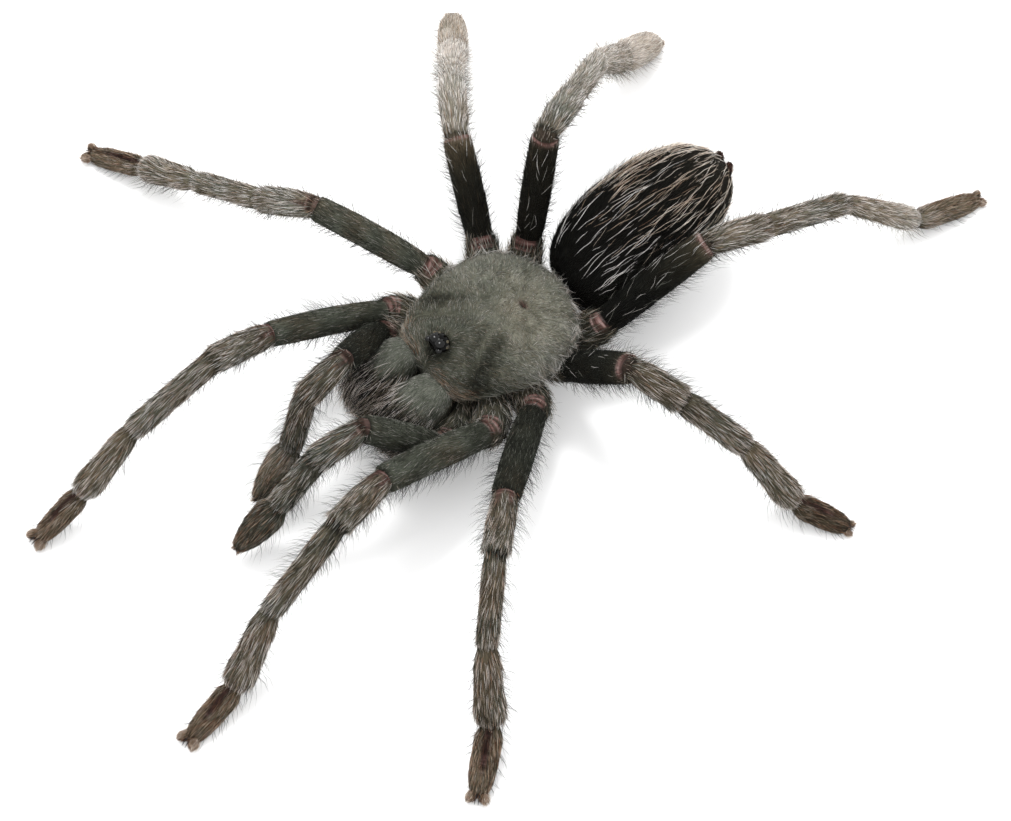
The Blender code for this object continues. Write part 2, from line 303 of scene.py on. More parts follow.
@dataclass(frozen=True)
class Finish:
    """A finish: a Principled shader with its own nodes before it."""

    name: str
    roughness: float
    specular: float

    def make(self) -> bpy.types.Material:
        """Makes the finish.

        Returns:
            The material.
        """
        made = bpy.data.materials.new(self.name)
        made.use_nodes = True
        made.node_tree.nodes.clear()
        board = Board(made.node_tree)
        links = {"Roughness": self.roughness, "Specular IOR Level": self.specular, **self._dress(board)}
        board.add("shader", "ShaderNodeBsdfPrincipled", links)
        board.add("end", "ShaderNodeOutputMaterial", {"Surface": "shader"})
        return made

    def _dress(self, board: Board) -> dict[str, Any]:
        """Adds the finish's own nodes, and gives what the shader's inputs get."""
        raise NotImplementedError


@dataclass(frozen=True)
class HairFinish(Finish):
    """Dry spider hair that barely shines; each hair is darker towards its root: painted shade, where the
    other hairs shade it.

    The map `HAIR_MAP` carries the hair's tone across, and upwards the hue's number plus the place
    along the hair, as a share of the number of hues.
    """

    name: str = "dry_hair"
    roughness: float = 0.55
    specular: float = 0.1
    # Painted shade along each hair: what its colour is multiplied by at its root, its middle and near its
    # tip.
    shades: tuple[tuple[float, str], ...] = ((0.0, "#a4a4a4"), (0.45, "#e6e6e6"), (0.85, "#ffffff"))

    def _dress(self, board: Board) -> dict[str, Any]:
        """Adds the hue, the tone and the shade along the hair.

        Args:
            board: The material's nodes.

        Returns:
            What the shader's inputs get.
        """
        board.add("place", "ShaderNodeUVMap", uv_map=HAIR_MAP)
        board.add("parts", "ShaderNodeSeparateXYZ", {0: "place"})
        board.add("hues", MATH, {0: "parts.Y", 1: float(len(HUES))}, operation="MULTIPLY")
        board.add("along", MATH, {0: "hues"}, operation="FRACT")
        first, *others = HUES.values()
        set_stops(board.add("colour", RAMP, {"Fac": "parts.X"}), first)
        for number, stops in enumerate(others, 1):
            set_stops(board.add("hue", RAMP, {"Fac": "parts.X"}), stops)
            board.add("past", MATH, {0: "hues", 1: float(number)}, operation="GREATER_THAN")
            board.add("colour", MIX, {0: "past", 6: "colour", 7: "hue"}, 2, data_type="RGBA")
        set_stops(board.add("shade", RAMP, {"Fac": "along"}), self.shades)
        board.add("dressed", MIX, {0: 1.0, 6: "colour", 7: "shade"}, 2, data_type="RGBA",
                  blend_type="MULTIPLY")
        return {"Base Color": "dressed"}


@dataclass(frozen=True)
class VelvetFinish(Finish):
    """Shell under a velvet of hair too short to model: combed streaks, with bald pinkish windows.

    It looks matt and soft, dark where the velvet parts, and like creased dry skin where it is bald.
    It reads the skin's own marks: `tone` and `warm` set the velvet's colour, `shade` darkens folds
    and `bare` shows the dry skin. The grain map is in millimetres, first along the comb.
    """

    name: str = "velvet_shell"
    roughness: float = 0.82
    specular: float = 0.08
    # A tuft of velvet is about this long and wide, in millimetres, and this much paler or darker.
    streak_length: float = 1.6
    streak_width: float = 0.16
    streak_depth: float = 0.4
    mottle_size: float = 2.2
    mottle_depth: float = 0.12
    # The velvet is this much darker under its hairs: partly darker skin, partly painted shade between the
    # hairs.
    ground: float = -0.16
    # Streaks and mottling count for this much of the tone, and at least for the second number.
    stir: Pair = (2.2, 0.02)
    bump_mm: float = 0.08
    skin_stops: tuple[tuple[float, str], ...] = (
        (0.4, "#4e3733"), (0.525, "#765b57"), (0.65, "#998581"), (0.75, "#bcadaa"),
    )
    skin_dark: str = "#2e1d19"
    crease_mm: float = 0.55
    crease_run: float = 0.12
    # How much folds darken the bare skin, how much streaks roughen the velvet, and the bump's part.
    fold_depth: float = 0.9
    streak_gloss: float = 0.2
    bump_strength: float = 0.7

    def _dress(self, board: Board) -> dict[str, Any]:
        """Adds the streaks, the creases, and the mix of velvet and bare skin.

        Args:
            board: The material's nodes.

        Returns:
            What the shader's inputs get.
        """
        board.add("grain", "ShaderNodeUVMap", uv_map=GRAIN_MAP)
        for mark in ("tone", "warm", "shade", "bare"):
            board.add(mark, "ShaderNodeAttribute", result="Fac", attribute_name=mark)
        combed = (1 / self.streak_length, 1 / self.streak_width, 1)
        board.add("combed", "ShaderNodeMapping", {"Vector": "grain", "Scale": combed})
        board.add("streaks", NOISE, {"Vector": "combed", "Scale": 1.0, "Detail": 3.0,
                                     "Roughness": 0.6, "Distortion": 0.4})
        board.add("spot", "ShaderNodeTexCoord", result="Object")
        board.add("mottle", NOISE, {"Vector": "spot", "Scale": 1 / (self.mottle_size * MM), "Detail": 2.0})
        creased = (1 / self.crease_mm, self.crease_run / self.crease_mm, 1)
        board.add("creased", "ShaderNodeMapping", {"Vector": "grain", "Scale": creased})
        board.add("creases", NOISE, {"Vector": "creased", "Scale": 1.0, "Detail": 2.0, "Roughness": 0.5})
        # Dark velvet stirs less than pale velvet, and stays as dark as it is between its hairs.
        for name, operation, *terms in (
            ("stirred", "MULTIPLY_ADD", "streaks", self.streak_depth,
             -self.streak_depth / 2 - self.mottle_depth / 2),
            ("stirred", "MULTIPLY_ADD", "mottle", self.mottle_depth, "stirred"),
            ("stirred", "ADD", "stirred", self.ground),
            ("share", "MULTIPLY_ADD", "tone", *self.stir),
            ("shaded", "SUBTRACT", "tone", "shade"),
            ("velvet_tone", "MULTIPLY_ADD", "stirred", "share", "shaded"),
            ("folded", "MULTIPLY_ADD", "shade", -self.fold_depth, "creases"),
            ("rough", "MULTIPLY_ADD", "streaks", self.streak_gloss,
             self.roughness - self.streak_gloss / 2),
        ):
            board.add(name, MATH, dict(enumerate(terms)), operation=operation)
        for hue in (Family.ASH, Family.UMBER):
            set_stops(board.add(hue.name, RAMP, {"Fac": "velvet_tone"}), HUES[hue])
        set_stops(board.add("skin", RAMP, {"Fac": "folded"}), ((0.25, self.skin_dark), *self.skin_stops))
        board.add("velvet", MIX, {0: "warm", 6: "ASH", 7: "UMBER"}, 2, data_type="RGBA")
        board.add("colour", MIX, {0: "bare", 6: "velvet", 7: "skin"}, 2, data_type="RGBA")
        board.add("height", MIX, {0: "bare", 2: "streaks", 3: "creases"}, data_type="FLOAT")
        board.add("bump", "ShaderNodeBump",
                  {"Height": "height", "Strength": self.bump_strength, "Distance": self.bump_mm * MM})
        return {"Base Color": "colour", "Roughness": "rough", "Normal": "bump"}


@dataclass(frozen=True)
class ShellFinish(Finish):
    """Bare hard shell or lens: dark and smooth, so it mirrors the light, with a faint grain under it."""

    dark: str
    pale: str
    grain_mm: float = 0.6

    def _dress(self, board: Board) -> dict[str, Any]:
        """Adds the grain between two colours.

        Args:
            board: The material's nodes.

        Returns:
            What the shader's inputs get.
        """
        board.add("spot", "ShaderNodeTexCoord", result="Object")
        board.add("grain", NOISE, {"Vector": "spot", "Scale": 1 / (self.grain_mm * MM), "Detail": 3.0})
        set_stops(board.add("shade", RAMP, {"Fac": "grain"}), ((0.35, self.dark), (0.65, self.pale)))
        return {"Base Color": "shade"}


@dataclass(frozen=True)
class CardFinish(Finish):
    """Matt white card: pale and without any shine."""

    name: str = "white_card"
    roughness: float = 0.9
    specular: float = 0.1
    colour: str = "#f5f5f5"

    def _dress(self, board: Board) -> dict[str, Any]:
        """One plain colour."""
        return {"Base Color": linear(self.colour)}


class Finishes:
    """Every material of the specimen, each made once."""

    def __init__(self) -> None:
        """Makes the materials."""
        self.hair = HairFinish().make()
        self.velvet = VelvetFinish().make()
        # Black wet-looking domes with one small sharp glint each.
        self.lens = ShellFinish("dark_lens", 0.05, 0.22, "#010101", "#040303").make()
        # The small side eyes are amber, and as glossy.
        self.pale_lens = ShellFinish("pale_lens", 0.05, 0.25, "#1c1810", "#4c4430").make()
        # Red-black polished horn.
        self.fang = ShellFinish("fang_shell", 0.22, 0.5, "#0a0706", "#1d100c").make()
        # Near black, so that the eyes' glints stand out on it.
        self.mound = ShellFinish("eye_mound_shell", 0.06, 0.08, "#010101", "#050403", 0.3).make()


@dataclass(frozen=True)
class Coat:
    """One coat of hair; its fields are the inputs of the tree that grows it.

    mask names the mark that says where it grows, density counts hairs a square millimetre where
    the mask is one, and sizes are in millimetres. lean is 0 for hair that stands and 1 for hair
    that lies along the comb; settle lays its far half further over, and sag pulls its tip in.
    """

    mask: str
    density: float
    length: float
    radius: float
    lean: float
    seed: int
    disorder: float = 0.2
    spread: float = 0.3
    settle: float = 0.3
    sag: float = 0.0
    wave: float = 0.0
    waves: float = 1.0
    bends: int = 1
    tone: float = 0.0
    tone_spread: float = 0.14
    tip_gain: float = 0.0
    family: Family = Family.FROM_SKIN

    # What turns the sizes into metres.
    UNITS: ClassVar[dict[str, float]] = {
        "density": PER_MM2, "length": MM, "radius": MM, "sag": MM, "wave": MM,
    }

    def inputs(self) -> dict[str, Any]:
        """The tree's inputs for this coat, in metres."""
        sizes = {name: getattr(self, name) * size for name, size in self.UNITS.items()}
        return {**vars(self), **sizes, "family": self.family.value}


class HairTree:
    """The node tree that grows a coat of hair on a skin, and sets it as joined plain mesh."""

    SOCKETS: ClassVar[dict[type, str]] = {str: "String", float: "Float", int: "Int", Family: "Int"}
    # Each hair's own random numbers: a name, the range, and what sets its seed apart.
    DRAWS: ClassVar[tuple[tuple[str, float, float, int], ...]] = (
        ("lift_draw", 0.0, 0.5, 12), ("length_draw", -1.0, 1.0, 13), ("phase", 0.0, 1.0, 14),
        ("tone_draw", -1.0, 1.0, 15), ("hue_draw", 0.05, 0.95, 16),
    )
    STRAY_SEED: ClassVar[float] = 11.0
    TONE_RANGE: ClassVar[Pair] = (0.01, 0.99)
    # A hair that is laid over sinks by this much of its reach, if it stood upright.
    SINK: ClassVar[float] = -0.85
    # Up and down a hair waves this much slower and less than from side to side.
    NOD_PACE: ClassVar[float] = 0.63
    NOD_SIZE: ClassVar[float] = 0.35
    # The part of a hue's band in the map that a hair takes, and the band's margin.
    BAND: ClassVar[Pair] = (0.94, 0.03)
    # A sliver of width in the map, so that no face of it is without area.
    SLIVER: ClassVar[float] = 0.0015
    # What is kept of the skin under each root, and of the blank hair at each of its points.
    KEPT: ClassVar[dict[str, tuple[str, tuple[tuple[str, str, str], ...]]]] = {
        "root": ("roots.Points", (
            ("VECTOR", "normal", "roots.Normal"), ("VECTOR", "flow", "flow"),
            ("FLOAT", "length", "length"), ("FLOAT", "rise", "rise"), ("FLOAT", "tone", "hair_tone"),
            ("FLOAT", "hue", "hue"), ("FLOAT", "phase", "phase"),
        )),
        "blank": ("shaped", (("FLOAT", "along", "place.Z"), ("FLOAT", "across", "place.X"))),
    }

    def __init__(self) -> None:
        """Builds the tree."""
        self.tree = bpy.data.node_groups.new("hair_coat", "GeometryNodeTree")
        kinds = {part.name: self.SOCKETS[part.type] for part in fields(Coat)}
        for name, kind in {"skin": "Geometry", **kinds, "material": "Material"}.items():
            self.tree.interface.new_socket(name, in_out="INPUT", socket_type=f"NodeSocket{kind}")
        self.tree.interface.new_socket("hair", in_out="OUTPUT", socket_type="NodeSocketGeometry")
        self.ids = {
            item.name: item.identifier
            for item in self.tree.interface.items_tree
            if item.in_out == "INPUT"
        }
        self.board = Board(self.tree)
        self.board.add("given", "NodeGroupInput")
        self._add_sources()
        self._add_roots()
        self._add_blank()
        self._add_hairs()
        self._bend_hairs()
        self._dress_hairs()

    def _add_sources(self) -> None:
        """The skin's marks and comb, and each hair's random numbers."""
        add = self.board.add
        for mark in ("tone", "shade", "warm", "span"):
            add(mark, ATTRIBUTE, {"Name": mark}, data_type="FLOAT")
        add("comb", ATTRIBUTE, {"Name": "comb"}, data_type="FLOAT_VECTOR")
        add("grows", ATTRIBUTE, {"Name": "given.mask"}, data_type="FLOAT")
        for name, low, high, apart in self.DRAWS:
            add("draw_seed", MATH, {0: "given.seed", 1: float(apart)}, operation="ADD")
            add(name, "FunctionNodeRandomValue", {2: low, 3: high, "Seed": "draw_seed"}, 1,
                data_type="FLOAT")
        add("draw_seed", MATH, {0: "given.seed", 1: self.STRAY_SEED}, operation="ADD")
        add("shake", "FunctionNodeRandomValue",
            {0: (-1.0, -1.0, -1.0), 1: (1.0, 1.0, 1.0), "Seed": "draw_seed"}, data_type="FLOAT_VECTOR")

    def _add_roots(self) -> None:
        """The hairs' roots, and for each the way it leans, its length, its tone and its hue."""
        add = self.board.add
        add("density", MATH, {0: "given.density", 1: "grows"}, operation="MULTIPLY")
        add("roots", "GeometryNodeDistributePointsOnFaces",
            {"Mesh": "given.skin", "Density": "density", "Seed": "given.seed"})
        for name, vector in (("flow", "comb"), ("stray", "shake")):
            add("off", VECTOR, {0: vector, 1: "roots.Normal"}, "Value", operation="DOT_PRODUCT")
            add("off", VECTOR, {0: "roots.Normal", "Scale": "off"}, operation="SCALE")
            add(name, VECTOR, {0: vector, 1: "off"}, operation="SUBTRACT")
        add("flow", VECTOR, {0: "flow"}, operation="NORMALIZE")
        least, most = self.TONE_RANGE
        for name, operation, *terms in (
            ("upright", "SUBTRACT", 1.0, "given.lean"),
            ("lift", "MULTIPLY_ADD", "lift_draw", "given.disorder", "upright"),
            ("varied", "MULTIPLY_ADD", "length_draw", "given.spread", 1.0),
            ("length", "MULTIPLY", "given.length", "span"),
            ("length", "MULTIPLY", "length", "varied"),
            ("hair_tone", "SUBTRACT", "tone", "shade"),
            ("hair_tone", "ADD", "hair_tone", "given.tone"),
            ("hair_tone", "MULTIPLY_ADD", "tone_draw", "given.tone_spread", "hair_tone"),
            ("hair_tone", "MAXIMUM", "hair_tone", least),
            ("hair_tone", "MINIMUM", "hair_tone", most),
            # The hue asked for, or else the skin's own.
            ("asked", "GREATER_THAN", "given.family", -0.5),
            ("not_asked", "SUBTRACT", 1.0, "asked"),
            ("own_hue", "GREATER_THAN", "warm", "hue_draw"),
            ("own_hue", "MULTIPLY", "own_hue", "not_asked"),
            ("hue", "MULTIPLY", "given.family", "asked"),
            ("hue", "MAXIMUM", "hue", "own_hue"),
        ):
            add(name, MATH, dict(enumerate(terms)), operation=operation)
        add("aim", VECTOR, {0: "roots.Normal", "Scale": "lift"}, operation="SCALE")
        for vector, size in (("flow", "given.lean"), ("stray", "given.disorder")):
            add("aim", VECTOR, {0: vector, 1: size, 2: "aim"}, operation="MULTIPLY_ADD")
        add("aim", VECTOR, {0: "aim"}, operation="NORMALIZE")
        add("rise", VECTOR, {0: "aim", 1: "roots.Normal"}, "Value", operation="DOT_PRODUCT")

    def _add_blank(self) -> None:
        """One hair along Z at length and radius one, fullest above its root."""
        add = self.board.add
        add("cone", "GeometryNodeMeshCone",
            {"Vertices": 3, "Side Segments": "given.bends", "Radius Top": 0.0, "Radius Bottom": 1.0,
             "Depth": 1.0}, fill_type="NGON")
        add("spot", "GeometryNodeInputPosition")
        add("place", "ShaderNodeSeparateXYZ", {0: "spot"})
        add("fuller", MATH, {0: "place.Z", 1: 1.0}, operation="ADD")
        for axis in "XY":
            add(axis, MATH, {0: f"place.{axis}", 1: "fuller"}, operation="MULTIPLY")
        add("wide", "ShaderNodeCombineXYZ", {0: "X", 1: "Y", 2: "place.Z"})
        add("shaped", "GeometryNodeSetPosition", {"Geometry": "cone", "Position": "wide"})

    def _add_hairs(self) -> None:
        """Sets a blank on each root, and keeps what its bending and its colour need."""
        for name, (geometry, items) in self.KEPT.items():
            node = self.board.add(name, "GeometryNodeCaptureAttribute", {"Geometry": geometry},
                                  domain="POINT")
            for number, (kind, item, source) in enumerate(items, 1):
                node.capture_items.new(kind, item)
                self.tree.links.new(self.board.at[source], node.inputs[number])
            self.board.keep(name, node)
        add = self.board.add
        add("turn", "FunctionNodeAxesToRotation", {"Primary Axis": "aim", "Secondary Axis": "roots.Normal"},
            primary_axis="Z", secondary_axis="X")
        add("size", "ShaderNodeCombineXYZ", {0: "given.radius", 1: "given.radius", 2: "length"})
        add("hairs", "GeometryNodeInstanceOnPoints",
            {"Points": "root", "Instance": "blank", "Rotation": "turn", "Scale": "size"})
        add("hairs", "GeometryNodeRealizeInstances", {"Geometry": "hairs"})

    def _bend_hairs(self) -> None:
        """Lays the hairs over along the comb, waves them and keeps them off the ground."""
        add = self.board.add
        for name, operation, *terms in (
            ("squared", "MULTIPLY", "blank.along", "blank.along"),
            ("reach", "MULTIPLY", "squared", "root.length"),
            ("reach", "MULTIPLY", "reach", "given.settle"),
            ("sink", "MULTIPLY", "reach", "root.rise"),
            ("sink", "MULTIPLY", "sink", self.SINK),
            ("sag", "MULTIPLY", "squared", "given.sag"),
            ("drop", "SUBTRACT", "sink", "sag"),
            ("turns", "MULTIPLY_ADD", "blank.along", "given.waves", "root.phase"),
            ("turns", "MULTIPLY", "turns", 2 * math.pi),
            ("swing", "SINE", "turns"),
            ("swing", "MULTIPLY", "swing", "blank.along"),
            ("swing", "MULTIPLY", "swing", "given.wave"),
            ("nod", "MULTIPLY", "turns", self.NOD_PACE),
            ("nod", "COSINE", "nod"),
            ("nod", "MULTIPLY", "nod", "blank.along"),
            ("nod_size", "MULTIPLY", "given.wave", self.NOD_SIZE),
            ("nod", "MULTIPLY", "nod", "nod_size"),
        ):
            add(name, MATH, dict(enumerate(terms)), operation=operation)
        add("aside", VECTOR, {0: "root.normal", 1: "root.flow"}, operation="CROSS_PRODUCT")
        add("offset", VECTOR, {0: "root.flow", "Scale": "reach"}, operation="SCALE")
        for vector, size in (("root.normal", "drop"), ("aside", "swing"), ("root.normal", "nod")):
            add("offset", VECTOR, {0: vector, 1: size, 2: "offset"}, operation="MULTIPLY_ADD")
        add("laid", "GeometryNodeSetPosition", {"Geometry": "hairs", "Offset": "offset"})
        add("spot", "GeometryNodeInputPosition")
        add("where", "ShaderNodeSeparateXYZ", {0: "spot"})
        add("height", MATH, {0: "where.Z", 1: FLOOR_CLEARANCE * MM}, operation="MAXIMUM")
        add("above", "ShaderNodeCombineXYZ", {0: "where.X", 1: "where.Y", 2: "height"})
        add("laid", "GeometryNodeSetPosition", {"Geometry": "laid", "Position": "above"})

    def _dress_hairs(self) -> None:
        """Gives the hairs their map and material, and ends the tree."""
        add = self.board.add
        least, most = self.TONE_RANGE
        for name, operation, *terms in (
            ("upwards", "MULTIPLY_ADD", "blank.along", *self.BAND),
            ("upwards", "ADD", "root.hue", "upwards"),
            ("upwards", "DIVIDE", "upwards", float(len(HUES))),
            ("sideways", "MULTIPLY_ADD", "blank.along", "given.tip_gain", "root.tone"),
            ("sideways", "MAXIMUM", "sideways", least),
            ("sideways", "MINIMUM", "sideways", most),
            ("sideways", "MULTIPLY_ADD", "blank.across", self.SLIVER, "sideways"),
        ):
            add(name, MATH, dict(enumerate(terms)), operation=operation)
        add("mapped", "ShaderNodeCombineXYZ", {0: "sideways", 1: "upwards"})
        add("hairs", "GeometryNodeStoreNamedAttribute",
            {"Geometry": "laid", "Name": HAIR_MAP, "Value": "mapped"}, data_type="FLOAT2", domain="CORNER")
        add("hairs", "GeometryNodeSetShadeSmooth", {"Geometry": "hairs"})
        add("hairs", "GeometryNodeRealizeInstances", {"Geometry": "hairs"})
        add("hairs", "GeometryNodeSetMaterial", {"Geometry": "hairs", "Material": "given.material"})
        add("end", "NodeGroupOutput", {0: "hairs"})


def add_piece(name: str, mesh: bpy.types.Mesh, stands_for: Iterable[str] = ()) -> None:
    """Puts a finished mesh in the scene as a piece that rides on the body.

    Args:
        name: The piece's name.
        mesh: Its mesh, in place.
        stands_for: The CAD nodes that it replaces.
    """
    mesh.name = name
    mesh.calc_loop_triangles()
    piece = bpy.data.objects.new(name, mesh)
    bpy.context.scene.collection.objects.link(piece)
    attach(piece, BODY)
    if stands_for:
        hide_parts(*stands_for)
    LOG.info("%s: %d triangles", name, len(mesh.loop_triangles))


def joined_mesh(name: str, meshes: Sequence[bpy.types.Mesh]) -> bpy.types.Mesh:
    """Joins meshes that wear the same materials.

    Args:
        name: The new mesh's name.
        meshes: The meshes, which stay as they are.

    Returns:
        The new mesh.
    """
    shape = bmesh.new()
    for mesh in meshes:
        shape.from_mesh(mesh)
    whole = bpy.data.meshes.new(name)
    shape.to_mesh(whole)
    shape.free()
    for material in meshes[0].materials:
        whole.materials.append(material)
    return whole


@dataclass
class Skin:
    """A closed skin of rings of points, with what hair and velvet read from it.

    rings is rows by columns by 3, in millimetres, comb the way the hair lies and marks a number
    for each name, both at each point or the same for many; grain comes from `grain_of`.
    """

    name: str
    rings: Array
    comb: Array
    grain: Array
    marks: dict[str, Any] = field(default_factory=dict)

    # Every mark, with its value where a skin doesn't say.
    MARKS: ClassVar[dict[str, float]] = {
        "tone": 0.0, "warm": 0.0, "shade": 0.0, "bare": 0.0, "span": 1.0, "down": 0.0, "combed": 0.0,
        "standing": 0.0, "fringe": 0.0, "long": 0.0, "cuff": 0.0, "pad": 0.0,
    }

    def _faces(self) -> list[tuple[tuple[int, ...], list[Array]]]:
        """The faces: a grid of quads, and a fan at each pole.

        Returns:
            For each face its corners and their places in the grain.
        """
        rows, columns = self.rings.shape[:2]
        grain = self.grain
        faces = []
        for row in range(rows - 1):
            here, there = row * columns, (row + 1) * columns
            for column in range(columns):
                after = (column + 1) % columns
                corners = (here + column, here + after, there + after, there + column)
                near, far = grain[row, column : column + 2], grain[row + 1, column : column + 2]
                faces.append((corners, [near[0], near[1], far[1], far[0]]))
        for pole, row, order in ((rows * columns, 0, -1), (rows * columns + 1, rows - 1, 1)):
            for column in range(columns):
                near, after = grain[row, column], grain[row, column + 1]
                edge = (row * columns + column, row * columns + (column + 1) % columns)
                faces.append(((pole, *edge[::order]), [(near + after) / 2, *(near, after)[::order]]))
        return faces

    def mesh(self, finish: bpy.types.Material) -> bpy.types.Mesh:
        """The skin as a mesh in place.

        Args:
            finish: The material it wears.

        Returns:
            The mesh, faces outward, with the skin's marks, its comb and its grain map.
        """
        poles = [self.rings[0].mean(0), self.rings[-1].mean(0)]
        points = world(np.vstack([self.rings.reshape(-1, 3), poles]))
        points[:, 2] = np.maximum(points[:, 2], FLOOR_CLEARANCE * MM)
        faces = self._faces()
        corners = points[np.array([face[:3] for face, _ in faces])] - points.mean(0)
        if np.einsum("ij,ij->i", corners[:, 0], np.cross(corners[:, 1], corners[:, 2])).sum() < 0:
            faces = [(face[::-1], places[::-1]) for face, places in faces]
        mesh = bpy.data.meshes.new(self.name)
        mesh.from_pydata(points.tolist(), [], [face for face, _ in faces])
        mesh.materials.append(finish)
        layer = mesh.uv_layers.new(name=GRAIN_MAP)
        flat = np.array([place for _, places in faces for place in places], np.float32)
        layer.uv.foreach_set("vector", flat.ravel())
        self._write(mesh, "comb", "FLOAT_VECTOR", np.broadcast_to(self.comb, self.rings.shape))
        for mark, usual in self.MARKS.items():
            values = np.asarray(self.marks.get(mark, usual), float)
            self._write(mesh, mark, "FLOAT", np.broadcast_to(values, self.rings.shape[:2]))
        mesh.shade_smooth()
        return mesh

    @staticmethod
    def _write(mesh: bpy.types.Mesh, name: str, kind: str, values: Array) -> None:
        """Stores values at the points, where the poles take their ring's mean.

        Args:
            mesh: The mesh that keeps them.
            name: Their name.
            kind: FLOAT or FLOAT_VECTOR.
            values: Rows by columns, and by 3 for vectors.
        """
        flat = values.reshape(-1, *values.shape[2:])
        ends = np.array([values[0].mean(0), values[-1].mean(0)])
        full = np.concatenate([flat, ends]).astype(np.float32)
        made = mesh.attributes.new(name, kind, "POINT")
        made.data.foreach_set("value" if kind == "FLOAT" else "vector", full.ravel())


class Groomer:
    """Grows coats on skins and adds them to the scene as pieces."""

    def __init__(self, finish: bpy.types.Material) -> None:
        """Builds the hair's tree, for hair of a material."""
        self.tree = HairTree()
        self.finish = finish

    def add(
        self, name: str, skins: Sequence[bpy.types.Mesh], coats: Sequence[Coat], slot: str, seed: int = 0
    ) -> None:
        """Adds one piece of hair: all of some coats on all of some skins.

        Args:
            name: The piece's name.
            skins: The meshes it grows on.
            coats: The coats.
            slot: The record's material slot; not used.
            seed: What is added to each coat's own seed.
        """
        base = bpy.data.objects.new(f"{name}_base", joined_mesh(f"{name}_base", skins))
        bpy.context.scene.collection.objects.link(base)
        meshes = [self._grown(replace(coat, seed=coat.seed + seed), base) for coat in coats]
        bpy.data.objects.remove(base)
        add_piece(name, joined_mesh(name, [mesh for mesh in meshes if len(mesh.polygons)]))
        bpy.data.batch_remove(meshes)

    def _grown(self, coat: Coat, base: bpy.types.Object) -> bpy.types.Mesh:
        """A coat on a skin, as a plain mesh.

        Args:
            coat: The coat.
            base: The object it grows on, whose vertices carry the comb and the marks.

        Returns:
            The hair, which keeps only its map and its material.
        """
        modifier = base.modifiers.new("coat", "NODES")
        modifier.node_group = self.tree.tree
        for name, value in {**coat.inputs(), "material": self.finish}.items():
            modifier[self.tree.ids[name]] = value
        graph = bpy.context.evaluated_depsgraph_get()
        mesh = bpy.data.meshes.new_from_object(
            base.evaluated_get(graph), preserve_all_data_layers=True, depsgraph=graph
        )
        base.modifiers.remove(modifier)
        for layer in [layer for layer in mesh.uv_layers if layer.name != HAIR_MAP]:
            mesh.uv_layers.remove(layer)
        for mark in [made.name for made in mesh.attributes if made.name in (*Skin.MARKS, "comb")]:
            mesh.attributes.remove(mesh.attributes[mark])
        return mesh


class Side(Enum):
    """The side of the body that a limb or a jaw is on."""

    LEFT = 1
    RIGHT = -1


@dataclass(frozen=True)
class Kind:
    """What the two limbs of a pair share.

    lengths run from the femur to the tip, root is where the hip grows from the underside, out to
    its own side, forward and up, and tuft is the size of the claw tuft.
    """

    lengths: tuple[float, ...]
    root: Spot
    tuft: float


KINDS: dict[str, Kind] = {
    "leg_1": Kind((18.9, 10.9, 15.4, 12.5, 9.9), (5.4, 4.7, 7.6), 1.2),
    "leg_2": Kind((18.1, 10.7, 12.7, 11.2, 10.2), (5.8, 0.4, 7.6), 1.15),
    "leg_3": Kind((15.3, 9.0, 10.9, 12.9, 9.2), (5.6, -4.0, 7.6), 0.85),
    "leg_4": Kind((18.7, 10.2, 14.5, 17.5, 11.7), (4.6, -8.4, 7.6), 0.95),
    "palp": Kind((14.3, 8.0, 10.3, 9.4), (3.6, 8.0, 6.4), 0.5),
}


@dataclass(frozen=True)
class Pose:
    """How one limb is set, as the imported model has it, and the tones of its hair.

    hip is the femur's start and bend the hip's bend, out, forward and up; turns and rises are the
    lengths' headings from ahead and their slopes, and a leg leaves out the femur's, which puts the
    foot on the ground. tones are the femur's, then those at the patella's start, the tibia's end,
    the metatarsus's middle and the tarsus; a palp leaves the metatarsus out. warmth is 0 for ash
    and 1 for umber, for the femur and then for the rest. knee is how bare the stripes on the
    patella are. girths are how stout the femur, the tibia, the metatarsus and the tarsus are; a
    palp has no third. nudges move joints of the route, by number, to the spider's left and
    forward: fine setting. browning is how much paler and browner a dark femur turns towards its
    end, groove is how dark the joint between patella and tibia is, and curl is how far the long
    hairs of a dark femur wave.
    """

    hip: Spot
    turns: tuple[float, ...]
    rises: tuple[float, ...]
    tones: tuple[float, ...]
    warmth: Pair
    bend: Spot | None = None
    knee: float = 0.2
    girths: tuple[float, ...] = (1.0, 0.9, 1.0, 1.0)
    nudges: tuple[tuple[int, float, float], ...] = ()
    browning: float = 0.0
    groove: float = 0.75
    curl: float = 0.14


